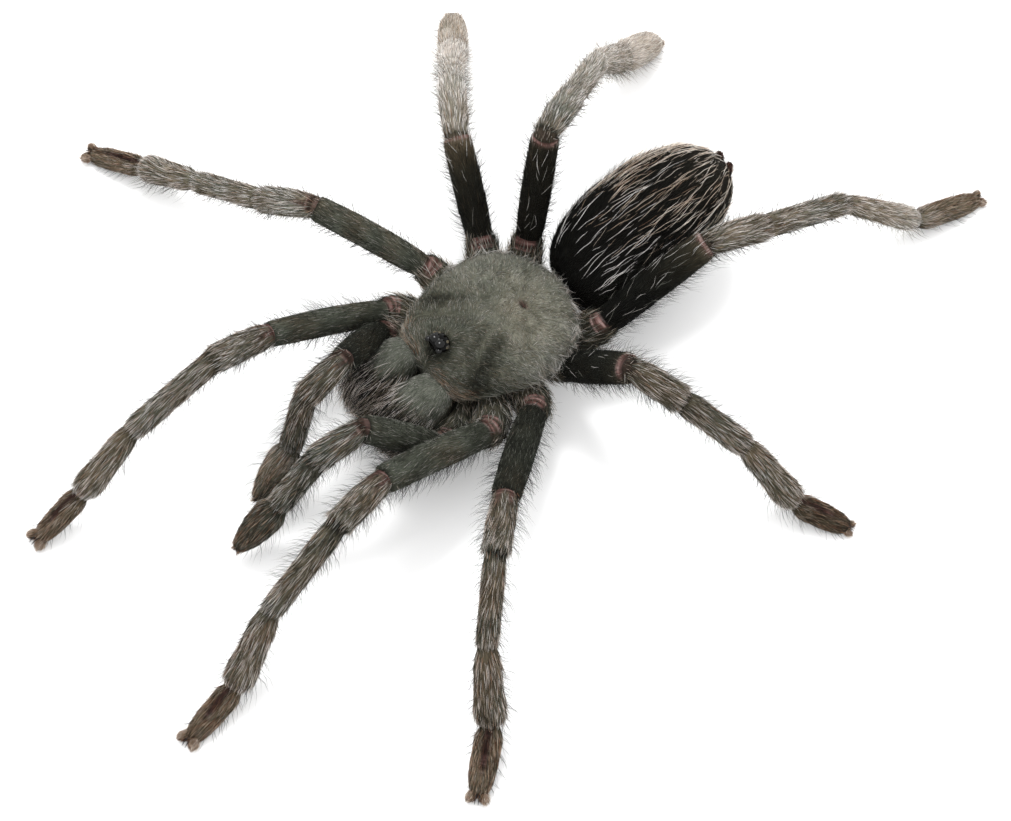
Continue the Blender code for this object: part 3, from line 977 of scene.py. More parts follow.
POSES: dict[str, Pose] = {
    "left_leg_1": Pose(
        (12.8, 10.6, 10.3), (3, 16, 10, 18, 16), (14, -33, -43, -14),
        (0.33, 0.39, 0.39, 0.4, 0.38), (0.1, 0.65), knee=0.75, girths=(1.0, 0.86, 1.02, 0.8),
        nudges=((4, 0.45, -0.05), (6, 0.2, -0.1), (7, -0.4, 0.1)),
    ),
    "left_leg_2": Pose(
        (14.1, 2.9, 10.0), (41, 46, 48, 55, 45), (11, -30, -42, -23),
        (0.17, 0.39, 0.4, 0.34, 0.36), (0.1, 0.7), knee=0.75, girths=(1.0, 0.82, 1.0, 0.86),
        nudges=((6, 0.25, -0.3),),
    ),
    "left_leg_3": Pose(
        (11.2, -6.1, 9.9), (107, 117, 113, 117, 125), (-26, -26, -47, -17),
        (0.08, 0.39, 0.38, 0.46, 0.28), (0.1, 0.7), girths=(1.05, 0.95, 0.96, 0.82),
        nudges=((3, 0.5, 0.5), (5, -0.2, -0.75), (6, -0.2, -0.5), (7, -0.3, -0.4)), browning=0.12,
    ),
    "left_leg_4": Pose(
        (8.5, -14.4, 11.1), (170, 175, 172, 164, 167), (-16, -15, -43, -11),
        (0.03, 0.48, 0.5, 0.81, 0.44), (0.1, 0.6), knee=0.15, girths=(1.02, 0.9, 0.82, 0.8),
        nudges=((4, 0.4, 0.15), (5, 0.35, 0.25), (7, -0.9, -0.4)), browning=0.3, groove=0.4, curl=0.34,
    ),
    "right_leg_1": Pose(
        (12.4, 10.0, 9.7), (10, -2, -2, -2, 0), (26, -24, -40, -35),
        (0.33, 0.45, 0.42, 0.47, 0.36), (0.15, 0.6), knee=0.75, girths=(0.88, 0.86, 0.92, 0.76),
        nudges=((3, -0.35, -0.15), (4, 0.85, 0.1), (5, -0.15, 0.0), (6, -0.3, 0.0), (7, -0.6, 0.1)),
        groove=0.35,
    ),
    "right_leg_2": Pose(
        (15.2, 1.2, 10.1), (57, 62, 65, 72, 63), (-30, -20, -21, -15),
        (0.35, 0.58, 0.5, 0.52, 0.4), (0.15, 0.55), knee=0.6, girths=(0.9, 0.84, 0.92, 0.75),
        nudges=((4, -0.5, -0.5), (5, -0.75, -0.85), (6, -0.15, -0.2)), groove=0.5,
    ),
    "right_leg_3": Pose(
        (14.3, -8.3, 10.1), (110, 121, 125, 126, 125), (-2, -40, -42, -16),
        (0.07, 0.59, 0.94, 0.88, 0.73), (0.5, 0.5), knee=0.15, girths=(0.96, 0.98, 1.06, 1.02),
        browning=0.4, groove=0.1,
    ),
    "right_leg_4": Pose(
        (8.9, -13.2, 13.0), (147, 146, 145, 144, 170), (-19, -31, -53, -27),
        (0.05, 0.49, 0.81, 0.66, 0.9), (0.7, 0.45), knee=0.15, girths=(0.96, 0.92, 1.02, 1.14),
        nudges=((4, 0.6, -0.2), (5, 0.7, -0.2), (6, 0.7, -1.4)), browning=0.12, groove=0.3,
    ),
    "left_palp": Pose(
        (10.4, 16.9, 9.7), (-22, -11, -8, -3), (43, -25, -51, -33), (0.31, 0.38, 0.38, 0.29),
        (0.0, 0.35), (10.4, 13.2, 7.6), 0.45, (1.0, 0.97, 1.0), ((6, 0.4, 0.0),), groove=0.4,
    ),
    "right_palp": Pose(
        (9.5, 13.1, 10.4), (-30, -6, -12, -18), (41, -6, -68, -32), (0.15, 0.37, 0.37, 0.42),
        (0.1, 0.45), (9.4, 11.5, 7.9), 0.45, (1.0, 0.92, 0.95),
        ((4, 0.6, -0.3), (5, 0.6, -0.4), (6, 0.2, 0.0)), groove=0.4,
    ),
}


@dataclass(frozen=True)
class Profile:
    """The outline of one length of a limb: its radius, and shares of it at places along it."""

    radius: float
    stops: tuple[Pair, ...]

    def at(self, along: Array) -> Array:
        """The outline with its corners rounded.

        Args:
            along: Places from 0 to 1.

        Returns:
            The radius at each place.
        """
        places, shares = zip(*self.stops)
        fine = np.linspace(0.0, 1.0, 201)
        rough = np.interp(fine, places, shares)
        ends = np.concatenate([np.full(8, rough[0]), rough, np.full(8, rough[-1])])
        rounded = np.convolve(ends, np.ones(17) / 17, mode="valid")
        return self.radius * np.interp(along, fine, rounded)


HIP = Profile(2.2, ((0.0, 1.0), (0.25, 1.18), (0.55, 1.18), (0.8, 1.06), (1.0, 0.98)))
FEMUR = Profile(2.2, ((0.0, 0.84), (0.1, 0.93), (0.3, 1.0), (0.65, 1.02), (0.9, 0.97), (1.0, 0.95)))
PATELLA = Profile(2.0, ((0.0, 0.8), (0.15, 0.9), (0.45, 1.0), (0.85, 1.02), (1.0, 1.0)))
TIBIA = Profile(1.9, ((0.0, 1.0), (0.15, 1.0), (0.5, 0.98), (0.85, 1.0), (0.95, 0.98), (1.0, 0.85)))
METATARSUS = Profile(
    1.98, ((0.0, 0.66), (0.06, 0.78), (0.2, 0.93), (0.5, 0.98), (0.8, 1.12), (0.92, 1.06), (1.0, 0.62))
)
TARSUS = Profile(
    2.12, ((0.0, 0.7), (0.05, 0.92), (0.18, 1.04), (0.55, 1.05), (0.82, 0.95), (0.95, 0.8), (1.0, 0.66))
)
PALP_TARSUS = Profile(
    2.3, ((0.0, 0.72), (0.08, 0.96), (0.22, 1.06), (0.5, 1.02), (0.75, 0.86), (0.92, 0.64), (1.0, 0.5))
)


@dataclass
class CentreLine:
    """A smooth line through a tube, with a radius at each of its points."""

    points: Array
    radii: Array
    tall: float = 1.0

    # The rounding of an end: how far on in radii, and how wide.
    ROUNDING: ClassVar[tuple[Pair, ...]] = ((0.5, 0.5), (0.43, 0.76), (0.24, 0.93))

    @classmethod
    def through(
        cls, knots: Array, radii: Sequence[float], count: int, passes: int
    ) -> tuple["CentreLine", Array]:
        """A line through knots.

        Args:
            knots: The knots.
            radii: The radius at each.
            count: How many points the line gets.
            passes: How often it is smoothed.

        Returns:
            The line, and its points' places counted in knots.
        """
        numbers = range(len(knots))
        places = np.linspace(0.0, len(knots) - 1.0, count)
        points = np.stack([np.interp(places, numbers, column) for column in knots.T], axis=1)
        return cls(eased(points, passes), np.interp(places, numbers, radii)), places

    def rings(self, columns: int) -> tuple[Array, Array, Array, Array]:
        """Rings round the line, closed in at both ends.

        Args:
            columns: How many points a ring has; its first is below the line.

        Returns:
            The rings, the line's direction at each row, the place along it and the angle round it.
        """
        points, radii = self._with_ends()
        ahead = unit(np.gradient(points, axis=0))
        ahead[:3], ahead[-3:] = ahead[3], ahead[-4]
        up = unit(np.array(UP) - ahead * ahead[:, 2:3])
        aside = np.cross(ahead, up)
        angle = np.linspace(0.0, 2 * math.pi, columns, endpoint=False)
        across = radii[:, None, None] * np.sin(angle)[None, :, None] * aside[:, None, :]
        upright = radii[:, None, None] * np.cos(angle)[None, :, None] * up[:, None, :] * -self.tall
        steps = np.linalg.norm(np.diff(points, axis=0), axis=1)
        along = np.concatenate([[0.0], np.cumsum(steps)])
        return points[:, None, :] + across + upright, ahead, along, angle

    def skin(self, name: str, columns: int, **marks: float) -> Skin:
        """A skin round the line, combed along it, with the same marks all over.

        Args:
            name: The skin's name.
            columns: How many points a ring has.
            marks: Its marks.

        Returns:
            The skin.
        """
        rings, ahead, along, _ = self.rings(columns)
        return Skin(name, rings, ahead[:, None], grain_of(rings, along), marks)

    def _with_ends(self) -> tuple[Array, Array]:
        """The line with three more rows rounding off each end.

        Returns:
            Its points and its radii.
        """
        first = unit(self.points[0] - self.points[1])
        last = unit(self.points[-1] - self.points[-2])
        near, far = self.radii[0], self.radii[-1]
        before = [self.points[0] + first * near * reach for reach, _ in self.ROUNDING]
        after = [self.points[-1] + last * far * reach for reach, _ in reversed(self.ROUNDING)]
        points = np.vstack([*before, self.points, *after])
        narrow = np.array([share for _, share in self.ROUNDING])
        return points, np.concatenate([near * narrow, self.radii, far * narrow[::-1]])


# The short pale hair of a foot; on a palp it takes the skin's own hue.
SHORT_PAD_HAIR = Coat("pad", 5.0, 0.8, 0.032, 0.93, 14, 0.2, tone=0.14, tone_spread=0.2, settle=0.0,
                      family=Family.STRAW)
# Thick pale strands over a dark ground: single hairs stand out, as on the real limb.
LIMB_FUR = (
    # The down is dark partly of its own and partly as painted shade between the hairs.
    Coat("down", 4.5, 0.7, 0.038, 0.88, 1, 0.2, tone=-0.24, tone_spread=0.08),
    Coat("combed", 3.6, 1.9, 0.043, 0.93, 2, 0.16, bends=2, tone=0.13, tone_spread=0.42,
         settle=0.1, tip_gain=0.06),
    Coat("combed", 3.0, 1.3, 0.034, 0.9, 11, 0.22, tone=0.2, tone_spread=0.3, settle=0.1),
    Coat("pad", 7.0, 1.1, 0.04, 0.96, 13, 0.14, tone=0.05, tone_spread=0.28, settle=0.0),
    SHORT_PAD_HAIR,
    Coat("long", 1.3, 1.7, 0.046, 0.94, 12, 0.12, bends=2, tone=0.04, tone_spread=0.28, settle=0.0,
         family=Family.STRAW),
    Coat("cuff", 8.0, 1.5, 0.044, 0.9, 7, 0.2, tone=0.3, tone_spread=0.22),
)
DARK_FEMUR_FUR = (
    Coat("down", 7.0, 0.6, 0.042, 0.85, 4, 0.22, tone=-0.04, tone_spread=0.04),
    Coat("combed", 1.6, 1.4, 0.028, 0.86, 8, 0.2, bends=2, tone=0.06, tone_spread=0.12),
    Coat("long", 0.3, 2.6, 0.032, 0.84, 5, 0.4, bends=5, tone=0.6, tone_spread=0.24, waves=0.6,
         family=Family.ASH, settle=0.2),
    Coat("cuff", 7.0, 0.8, 0.038, 0.86, 15, 0.2, tone=0.3, tone_spread=0.2, family=Family.UMBER),
)
GREY_FEMUR_FUR = (
    Coat("down", 10.0, 0.55, 0.036, 0.88, 4, 0.22, tone=-0.08, tone_spread=0.12),
    Coat("combed", 4.4, 0.9, 0.038, 0.92, 5, 0.2, tone=0.12, tone_spread=0.24),
)
# The hips are shaggy, and their hair hides the gaps between them.
HIP_FUR = (
    Coat("down", 5.0, 1.0, 0.04, 0.74, 9, 0.4, tone=-0.06, tone_spread=0.12),
    Coat("combed", 3.0, 1.9, 0.045, 0.7, 10, 0.4, bends=2, tone=0.16, tone_spread=0.22,
         tip_gain=0.1, wave=0.15, settle=0.4),
)
LIMB_BRISTLES = (
    Coat("standing", 3.2, 2.9, 0.025, 0.34, 3, 0.3, bends=2, tone=-0.3, tone_spread=0.1,
         tip_gain=0.1, settle=0.3, spread=0.45),
    Coat("fringe", 3.4, 2.5, 0.025, 0.42, 6, 0.3, tone=-0.26, tone_spread=0.12, tip_gain=0.1,
         settle=0.3, spread=0.45),
)
TUFT_FUR = (
    Coat("down", 24.0, 0.5, 0.04, 0.7, 40, 0.25, tone=0.02, tone_spread=0.3, settle=0.2,
         family=Family.STRAW),
    Coat("down", 8.0, 0.45, 0.036, 0.7, 41, 0.25, tone=-0.2, tone_spread=0.1, settle=0.2,
         family=Family.UMBER),
)


@dataclass
class Limb:
    """One leg or palp: skins for its lengths, its joint membranes, its hair and its claw tuft."""

    name: str
    finishes: Finishes
    groomer: Groomer
    number: int
    columns: int = 28
    row_mm: float = 0.5
    # Here each length reaches almost to the bend, and the next one starts inside its rim.
    far_share: float = 0.42
    near_share: float = 0.1
    foot_axis_z: float = 0.45
    gap: float = 0.35
    trochanter: float = 2.6
    bend_rise_share: float = 0.4
    bow: float = 0.02
    palp_share: float = 0.96
    # The tip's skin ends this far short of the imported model's, under the claw tuft.
    tip_back: float = 0.8
    membrane_reach: float = 1.3

    # Girths at a length's start and end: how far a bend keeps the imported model's lengths apart.
    ENDS: ClassVar[dict[str, Pair]] = {
        "hip": (1.7, 1.8), "femur": (1.75, 1.9), "patella": (1.6, 1.75),
        "tibia": (1.7, 1.6), "metatarsus": (1.35, 1.35), "tarsus": (1.2, 1.15),
    }
    # How many long hairs each length has, how many that stand, and how its bald skin is shaded.
    LONG: ClassVar[dict[str, float]] = {
        "hip": 0.0, "femur": 1.0, "patella_tibia": 0.55, "metatarsus": 0.9, "tarsus": 1.6,
    }
    STANDING: ClassVar[dict[str, float]] = {
        "hip": 1.0, "femur": 1.0, "patella_tibia": 1.0, "metatarsus": 0.65, "tarsus": 0.3,
    }
    BALD_SHADE: ClassVar[dict[str, float]] = {"tarsus": 0.6, "patella_tibia": 0.22}
    # A femur's tone below which it is dark and has long hair, and above which its slot is grey.
    DARK_BELOW: ClassVar[float] = 0.12
    GREY_ABOVE: ClassVar[float] = 0.25
    # A foot's tone above which the limb's slot is pale, and up to which a leg's foot has a line.
    PALE_ABOVE: ClassVar[float] = 0.6
    LINED_TO: ClassVar[float] = 0.42

    def __post_init__(self) -> None:
        """Works out the limb's route."""
        side, kind = self.name.split("_", 1)
        self.side = Side[side.upper()]
        self.kind = KINDS[kind]
        self.pose = POSES[self.name]
        self.is_palp = kind == "palp"
        self.route = self._route()
        self.share = self.palp_share if self.is_palp else 1.0
        self.is_dark = self.pose.tones[0] < self.DARK_BELOW

    def _place(self, spot: Sequence[float]) -> Array:
        """A point from its distances out to its own side, forward and up."""
        out, forward, up = spot
        return np.array([self.side.value * out, -forward, up], float)

    def _heading(self, turn: float, rise: float) -> Array:
        """A direction in space.

        Args:
            turn: The heading from ahead towards the limb's own side, in degrees.
            rise: The slope, in degrees.

        Returns:
            The direction, of length one.
        """
        turn, rise = math.radians(turn), math.radians(rise)
        flat = math.cos(rise)
        return self._place((math.sin(turn) * flat, math.cos(turn) * flat, math.sin(rise)))

    def _route(self) -> list[Array]:
        """Works out where the limb runs.

        Returns:
            The hip's root and bend, the femur's start, then each joint, in millimetres.
        """
        lengths, pose = self.kind.lengths, self.pose
        rises = list(pose.rises)
        if len(rises) < len(lengths):
            slopes = [math.sin(math.radians(rise)) for rise in rises]
            drop = sum(length * slope for length, slope in zip(lengths[1:], slopes))
            rises.insert(0, math.degrees(math.asin((self.foot_axis_z - pose.hip[2] - drop) / lengths[0])))
        root, start = self._place(self.kind.root), self._place(pose.hip)
        if pose.bend:
            bend = self._place(pose.bend)
        else:
            bend = start - self._heading(pose.turns[0], 0) * self.trochanter
            bend[2] = root[2] + self.bend_rise_share * (start[2] - root[2])
        route = [root, bend, start]
        for length, turn, rise in zip(lengths, pose.turns, rises):
            route.append(route[-1] + self._heading(turn, rise) * length)
        for joint, left, forward in pose.nudges:
            route[joint] = route[joint] + np.array([left, -forward, 0.0])
        return route

    def _setback(self, before: Array, after: Array, radius: float) -> float:
        """How far a length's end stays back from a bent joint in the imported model."""
        cosine = float(np.clip(unit(before) @ unit(after), -1.0, 1.0))
        return self.gap / 2 + radius * math.tan(math.acos(cosine) / 2)

    def _trimmed(self, index: int, length_name: str) -> tuple[Array, Array]:
        """Where a length starts and ends, short of the bends at its ends.

        Args:
            index: The place in the route that it leaves.
            length_name: Its name in `ENDS`.

        Returns:
            Its start and its end.
        """
        route, (near, far) = self.route, self.ENDS[length_name]
        here, there = route[index], route[index + 1]
        along = unit(there - here)
        start = here + along * self.near_share * self._setback(here - route[index - 1], along, near)
        if index + 2 == len(route):
            return start, there - along * (0.5 * far + self.tip_back)
        setback = self._setback(along, route[index + 2] - there, far)
        return start, there - along * (self.far_share * setback + 0.2 * far)

    def _straight(
        self, index: int, length_name: str, profile: Profile, stout: float, bow: float = 0.0,
        tall: float = 1.0,
    ) -> CentreLine:
        """The line of one straight length.

        Args:
            index: The place in the route that it leaves.
            length_name: Its name in `ENDS`.
            profile: Its outline.
            stout: How stout it is.
            bow: How far it bows up, as a share of its length.
            tall: How tall it is for its width.

        Returns:
            The line.
        """
        start, end = self._trimmed(index, length_name)
        size = float(np.linalg.norm(end - start))
        along = np.linspace(0.0, 1.0, max(8, round(size / self.row_mm)))
        points = start + along[:, None] * (end - start)
        points[:, 2] += bow * size * np.sin(math.pi * along)
        return CentreLine(points, profile.at(along) * self.share * stout, tall)

    def _hip_line(self) -> CentreLine:
        """The hip's way out from under the body, and round towards the femur.

        Returns:
            The line.
        """
        end = self._trimmed(1, "hip")[1]
        root, bend = self.route[0], self.route[1]
        share = np.linspace(0.0, 1.0, 56)[:, None]
        # A curve that leaves the root towards the bend and comes in along the hip's last length.
        points = (1 - share) ** 2 * root + 2 * share * (1 - share) * bend + share**2 * end
        return CentreLine(points, HIP.at(share[:, 0]) * self.share)

    def _shin_line(self) -> tuple[CentreLine, float]:
        """The line of patella and tibia in one.

        Returns:
            The line, and how far along it the joint between the two is.
        """
        start, knee, end = self._trimmed(3, "patella")[0], self.route[4], self._trimmed(4, "tibia")[1]
        first, second = np.linalg.norm(knee - start), np.linalg.norm(end - knee)
        upper = np.linspace(0.0, 1.0, round(first / self.row_mm))
        lower = np.linspace(0.0, 1.0, round(second / self.row_mm))[1:]
        points = np.vstack([start + upper[:, None] * (knee - start), knee + lower[:, None] * (end - knee)])
        points[: len(upper), 2] += self.bow * first * np.sin(math.pi * upper)
        girth = self.pose.girths[1]
        radii = np.concatenate([
            PATELLA.at(upper) * (1.0 - 0.55 * (1.0 - girth) * upper**2), TIBIA.at(lower) * girth
        ])
        rows = np.arange(len(radii)) - len(upper) + 1
        dip = self.pose.groove * (0.22 * hump((rows, 0.9)) - 0.1 * hump((rows + 2.2, 1.2)))
        return CentreLine(eased(points, 3), radii * self.share * (1.0 - dip)), float(first)

    def _skin(
        self, piece: str, line: CentreLine, tones: Pair, warm: float, cuffs: Pair = (0.0, 0.0),
        fold: float | None = None,
    ) -> Skin:
        """A skin round a line.

        Args:
            piece: The name of the limb's length.
            line: The line through it.
            tones: The velvet's tones at its start and end.
            warm: Its warmth.
            cuffs: How thick the pale cuffs of hair at its start and end are.
            fold: A place in millimetres where the skin folds, and the velvet is darker.

        Returns:
            The skin.
        """
        rings, ahead, along_line, angle = line.rings(self.columns)
        along = along_line[:, None]
        left = along[-1] - along
        share = along / along[-1] + np.zeros(rings.shape[:2])
        upward = -np.cos(angle)[None, :] + np.zeros(rings.shape[:2])
        bare = self._bald(piece, share, upward)
        groove = 0.0 if fold is None else self.pose.groove
        from_fold = along - (fold or 0.0)
        # The ends dip into their membranes, and are darker there: painted shade.
        shade = 0.2 * hump((along, 0.8)) + 0.2 * hump((left, 0.5)) + 0.4 * groove * hump((from_fold, 0.4))
        # Painted shade: the underside is darker.
        shade = shade + 0.07 * smooth_step(0.1, -0.7, upward)
        bald_shade = 0.6 * self.pose.warmth[0] if piece == "hip" else self.BALD_SHADE.get(piece, 0.0)
        shade = shade + bald_shade * bare
        opening = (-0.6, 0.0) if piece == "patella_tibia" else (0.5, 1.1)
        grows = (1.0 - np.clip(bare * 1.2, 0.0, 1.0)) * (
            smooth_step(*opening, along) * smooth_step(0.1, 0.5, left)
        ) * (1.0 - 0.8 * groove * hump((from_fold, 0.3)))
        short = 0.6 * groove * hump((from_fold + 0.9, 0.7))
        cuff = (
            cuffs[0] * smooth_step(2.2, 0.9, along) + cuffs[1] * smooth_step(1.9, 0.9, left)
            + 1.5 * groove * hump((from_fold + 1.3, 0.5))
        )
        browning = self.pose.browning if piece == "femur" else 0.0
        tone = tones[0] + (tones[1] - tones[0]) * share + browning * share**4
        warm = warm + 2.0 * browning * share**3 + 0.2 * wander(rings, 6.0, self.number + 50)
        sway = wander(rings, 5.0, self.number * 7 + len(piece))[..., None]
        aside = np.cross(ahead, UP)[:, None, :]
        # The feet are brushes: short and dense, with few hairs that stand.
        is_pad = piece == "tarsus"
        length = 1.0 if piece == "metatarsus" else 0.45 + 0.55 * smooth_step(0.0, 2.0, left)
        marks = {
            "tone": tone * (1.0 + 0.09 * wander(rings, 3.0, self.number)),
            "warm": np.clip(warm, 0.0, 1.0),
            "shade": shade * np.clip(tone * 2.2, 0.0, 1.0),
            "bare": bare,
            "span": length * (1.0 - short),
            "down": grows,
            "combed": grows * (0.5 + 0.5 * smooth_step(-0.6, 0.4, upward)) * (not is_pad),
            "pad": grows * is_pad,
            "standing": self.STANDING[piece] * grows
            * (0.6 + 0.4 * smooth_step(0.4, -0.2, np.abs(upward))),
            "fringe": self.STANDING[piece] * grows * smooth_step(-0.2, -0.85, upward)
            * smooth_step(0.02, 0.12, share),
            "long": grows * smooth_step(-0.1, 0.6, upward) * self.LONG[piece],
            "cuff": grows * cuff,
        }
        comb = unit(ahead[:, None, :] + 0.16 * sway * aside)
        return Skin(f"{self.name}_{piece}_skin", rings, comb, grain_of(rings, along_line), marks)

    def build(self) -> None:
        """Builds the limb's skins, membranes, hair and claws."""
        tones, girths, (femur_warm, far_warm) = self.pose.tones, self.pose.girths, self.pose.warmth
        shin_line, knee = self._shin_line()
        hip_tone = 0.19 + 0.42 * tones[0]
        skins = {
            "hip": self._skin("hip", self._hip_line(), (hip_tone, hip_tone), 0.5),
            "femur": self._skin(
                "femur", self._straight(2, "femur", FEMUR, girths[0], self.bow),
                (tones[0], tones[0] + 0.02), femur_warm, (0.0, float(self.is_dark)),
            ),
            "patella_tibia": self._skin(
                "patella_tibia", shin_line, (tones[1], tones[2]), 0.08 + 0.85 * far_warm, (0.0, 1.0),
                knee + 0.9,
            ),
        }
        if not self.is_palp:
            skins["metatarsus"] = self._skin(
                "metatarsus", self._straight(5, "metatarsus", METATARSUS, girths[2]),
                (tones[2], tones[3]), min(1.0, far_warm + 0.1), (0.2, 1.0),
            )
        tarsus = PALP_TARSUS if self.is_palp else TARSUS
        skins["tarsus"] = self._skin(
            "tarsus", self._straight(len(self.route) - 2, "tarsus", tarsus, girths[-1], tall=0.9),
            (tones[-1], tones[-1]), min(1.0, far_warm + (0.15 if self.is_palp else 0.45)), (0.6, 0.0),
        )
        meshes = {piece: skin.mesh(self.finishes.velvet) for piece, skin in skins.items()}
        for piece, mesh in meshes.items():
            add_piece(skins[piece].name, mesh, (f"{self.name}_{piece}",))
        self._add_hair(meshes, self._add_membranes())
        self._add_claw_tuft()

    def _bald(self, piece: str, share: Array, upward: Array) -> Array:
        """How bare the skin of one of the limb's lengths is.

        Args:
            piece: The length's name.
            share: The points' places along it, from 0 to 1.
            upward: How far each faces up.

        Returns:
            A number from 0 to 1 for each point.
        """
        if piece == "hip":
            # An oval of stripes on top of its far end, inside a hairy rim.
            oval = np.sqrt(((share - 0.875) / 0.115) ** 2 + ((1.0 - upward) / 0.42) ** 2)
            stripes = 0.5 + 0.5 * np.cos(2 * math.pi * (share - 0.875) / 0.075)
            return smooth_step(1.0, 0.8, oval) * (0.25 + 0.75 * stripes)
        if piece == "femur":
            # A lip at its start, and on a dark femur the pinkish rim at its end.
            lip = 0.8 * smooth_step(0.06, 0.035, share) * smooth_step(0.3, 0.7, upward)
            rim = hump((share - 0.972, 0.018)) * smooth_step(-0.4, 0.2, upward)
            return lip + 0.85 * self.is_dark * rim
        if piece == "patella_tibia":
            # Stripes at its start, two along it and one round it.
            start = hump((share - 0.03, 0.03)) * smooth_step(0.1, 0.5, upward)
            stripe = hump((upward - 0.84, 0.1)) * smooth_step(0.22, 0.1, share)
            return self.pose.knee * np.clip(start + stripe, 0.0, 1.0)
        if piece == "tarsus" and not self.is_palp and self.pose.tones[-1] <= self.LINED_TO:
            # A reddish line along its top.
            return 0.75 * smooth_step(0.965, 0.99, upward) * smooth_step(0.85, 0.4, share)
        return 0.0 * share

    def _add_membranes(self) -> list[bpy.types.Mesh]:
        """Adds the soft skin inside each joint, as one piece.

        Returns:
            The meshes that hair grows on too.
        """
        girths, tones = self.pose.girths, self.pose.tones
        # The membranes' radii, by their joints' numbers in the route.
        radii_at = {2: 1.8 * girths[0], 3: 1.75 * min(1.0, girths[0] + 0.05), 5: 1.4 * girths[1]}
        if not self.is_palp:
            radii_at[6] = 1.15 * girths[2]
        share = np.linspace(-1.0, 1.0, 15)
        bases = []
        for index, radius in radii_at.items():
            here = self.route[index]
            before, after = unit(here - self.route[index - 1]), unit(self.route[index + 1] - here)
            way = np.where(share[:, None] < 0, before * share[:, None], after * share[:, None])
            # Faint rings, as of a bellows.
            radii = radius * self.share * 0.92 * (1.0 + 0.04 * np.cos(share * 14))
            tone = 0.2 if index == 2 else 0.75 * tones[min(index - 2, len(tones) - 1)]
            bare = 0.6 * self.pose.knee if index == 3 else 0.15
            skin = CentreLine(eased(here + way * self.membrane_reach, 4), radii).skin(
                f"{self.name}_membrane", 24, tone=tone, warm=0.6, bare=bare, shade=0.1,
                down=1.0 - bare, combed=0.6 - 0.6 * bare, span=0.5,
            )
            bases.append(skin.mesh(self.finishes.velvet))
        add_piece(f"{self.name}_membranes", joined_mesh("membranes", bases))
        return bases[1:]

    def _add_hair(self, skins: dict[str, bpy.types.Mesh], joints: Sequence[bpy.types.Mesh]) -> None:
        """Grows the limb's coats.

        Args:
            skins: The limb's skins, by the names of its lengths.
            joints: The membranes that hair grows on too.
        """
        far = [mesh for piece, mesh in skins.items() if piece not in ("hip", "femur")]
        fur, femur_fur = LIMB_FUR, GREY_FEMUR_FUR
        if self.is_palp:
            own_hue = replace(SHORT_PAD_HAIR, family=Family.FROM_SKIN)
            fur = [own_hue if coat is SHORT_PAD_HAIR else coat for coat in fur]
        if self.is_dark:
            curl = self.pose.curl
            femur_fur = [replace(coat, wave=curl * (coat.mask == "long")) for coat in DARK_FEMUR_FUR]
        for part, grown_on, coats, slot in (
            ("fur", [*far, *joints], fur, "pale_hair"),
            ("femur_fur", [skins["femur"]], femur_fur, "dark_hair"),
            ("hip_fur", [skins["hip"]], HIP_FUR, "dark_hair"),
            ("bristles", [skins["femur"], *far], LIMB_BRISTLES, "dark_hair"),
        ):
            self.groomer.add(f"{self.name}_{part}", grown_on, coats, slot, 100 * self.number)

    def _add_claw_tuft(self) -> None:
        """The two pads of pinkish hair at the tip, with two small dark claws between them."""
        ahead = unit(self.route[-1] - self.route[-2])
        flat = unit(ahead * (1.0, 1.0, 0.0))
        aside = np.cross(flat, UP)
        size = self.kind.tuft
        tip = self.route[-1] - ahead * (self.tip_back + 0.1)
        pads, claws = [], []
        for side in (-1, 1):
            # A pad is an egg that leans outward.
            centre = tip + flat * 0.25 * size + aside * side * 0.72 * size
            centre[2] = max(0.74 * size + 0.05, tip[2] - 0.35)
            way, share = ball(20, 14)
            rings = centre + (
                way[..., :1] * 0.64 * aside + way[..., 1:2] * 0.8 * (flat + 0.3 * side * aside)
                + way[..., 2:] * np.array([0.0, 0.0, 0.64])
            ) * size
            # Painted shade: each pad is darker on its inner side, towards the other pad.
            inner = smooth_step(0.3, -0.6, side * (rings - centre) @ aside / size)
            pad = Skin(
                f"{self.name}_pad", rings, unit(rings - centre + 1.2 * flat + 0.4 * side * aside),
                grain_of(rings, share * 2.5),
                {"tone": 0.52 + 0.22 * self.pose.tones[-1] - 0.1 * inner, "warm": 1.0,
                 "shade": 0.25 * inner, "bare": 0.4 * (1.0 - inner), "down": 1.0},
            )
            pads.append(pad.mesh(self.finishes.velvet))
            share = np.linspace(0.0, 1.0, 12)[:, None]
            root = tip + aside * side * 0.22 * size + np.array([0.0, 0.0, 0.45 * size])
            hook = root + flat * 1.25 * size * share - np.array([0.0, 0.0, 0.6 * size]) * share**2.5
            hook[:, 2] = np.maximum(hook[:, 2], max(0.2, tip[2] - 0.8))
            claw = CentreLine(hook, 0.17 * size * (1.0 - 0.85 * share[:, 0])).skin(f"{self.name}_claw", 8)
            claws.append(claw.mesh(self.finishes.fang))
        add_piece(f"{self.name}_tuft_pads", joined_mesh("pads", pads))
        self.groomer.add(f"{self.name}_tuft", pads, TUFT_FUR, "claw_tuft", 100 * self.number)
        add_piece(f"{self.name}_claws", joined_mesh("claws", claws))


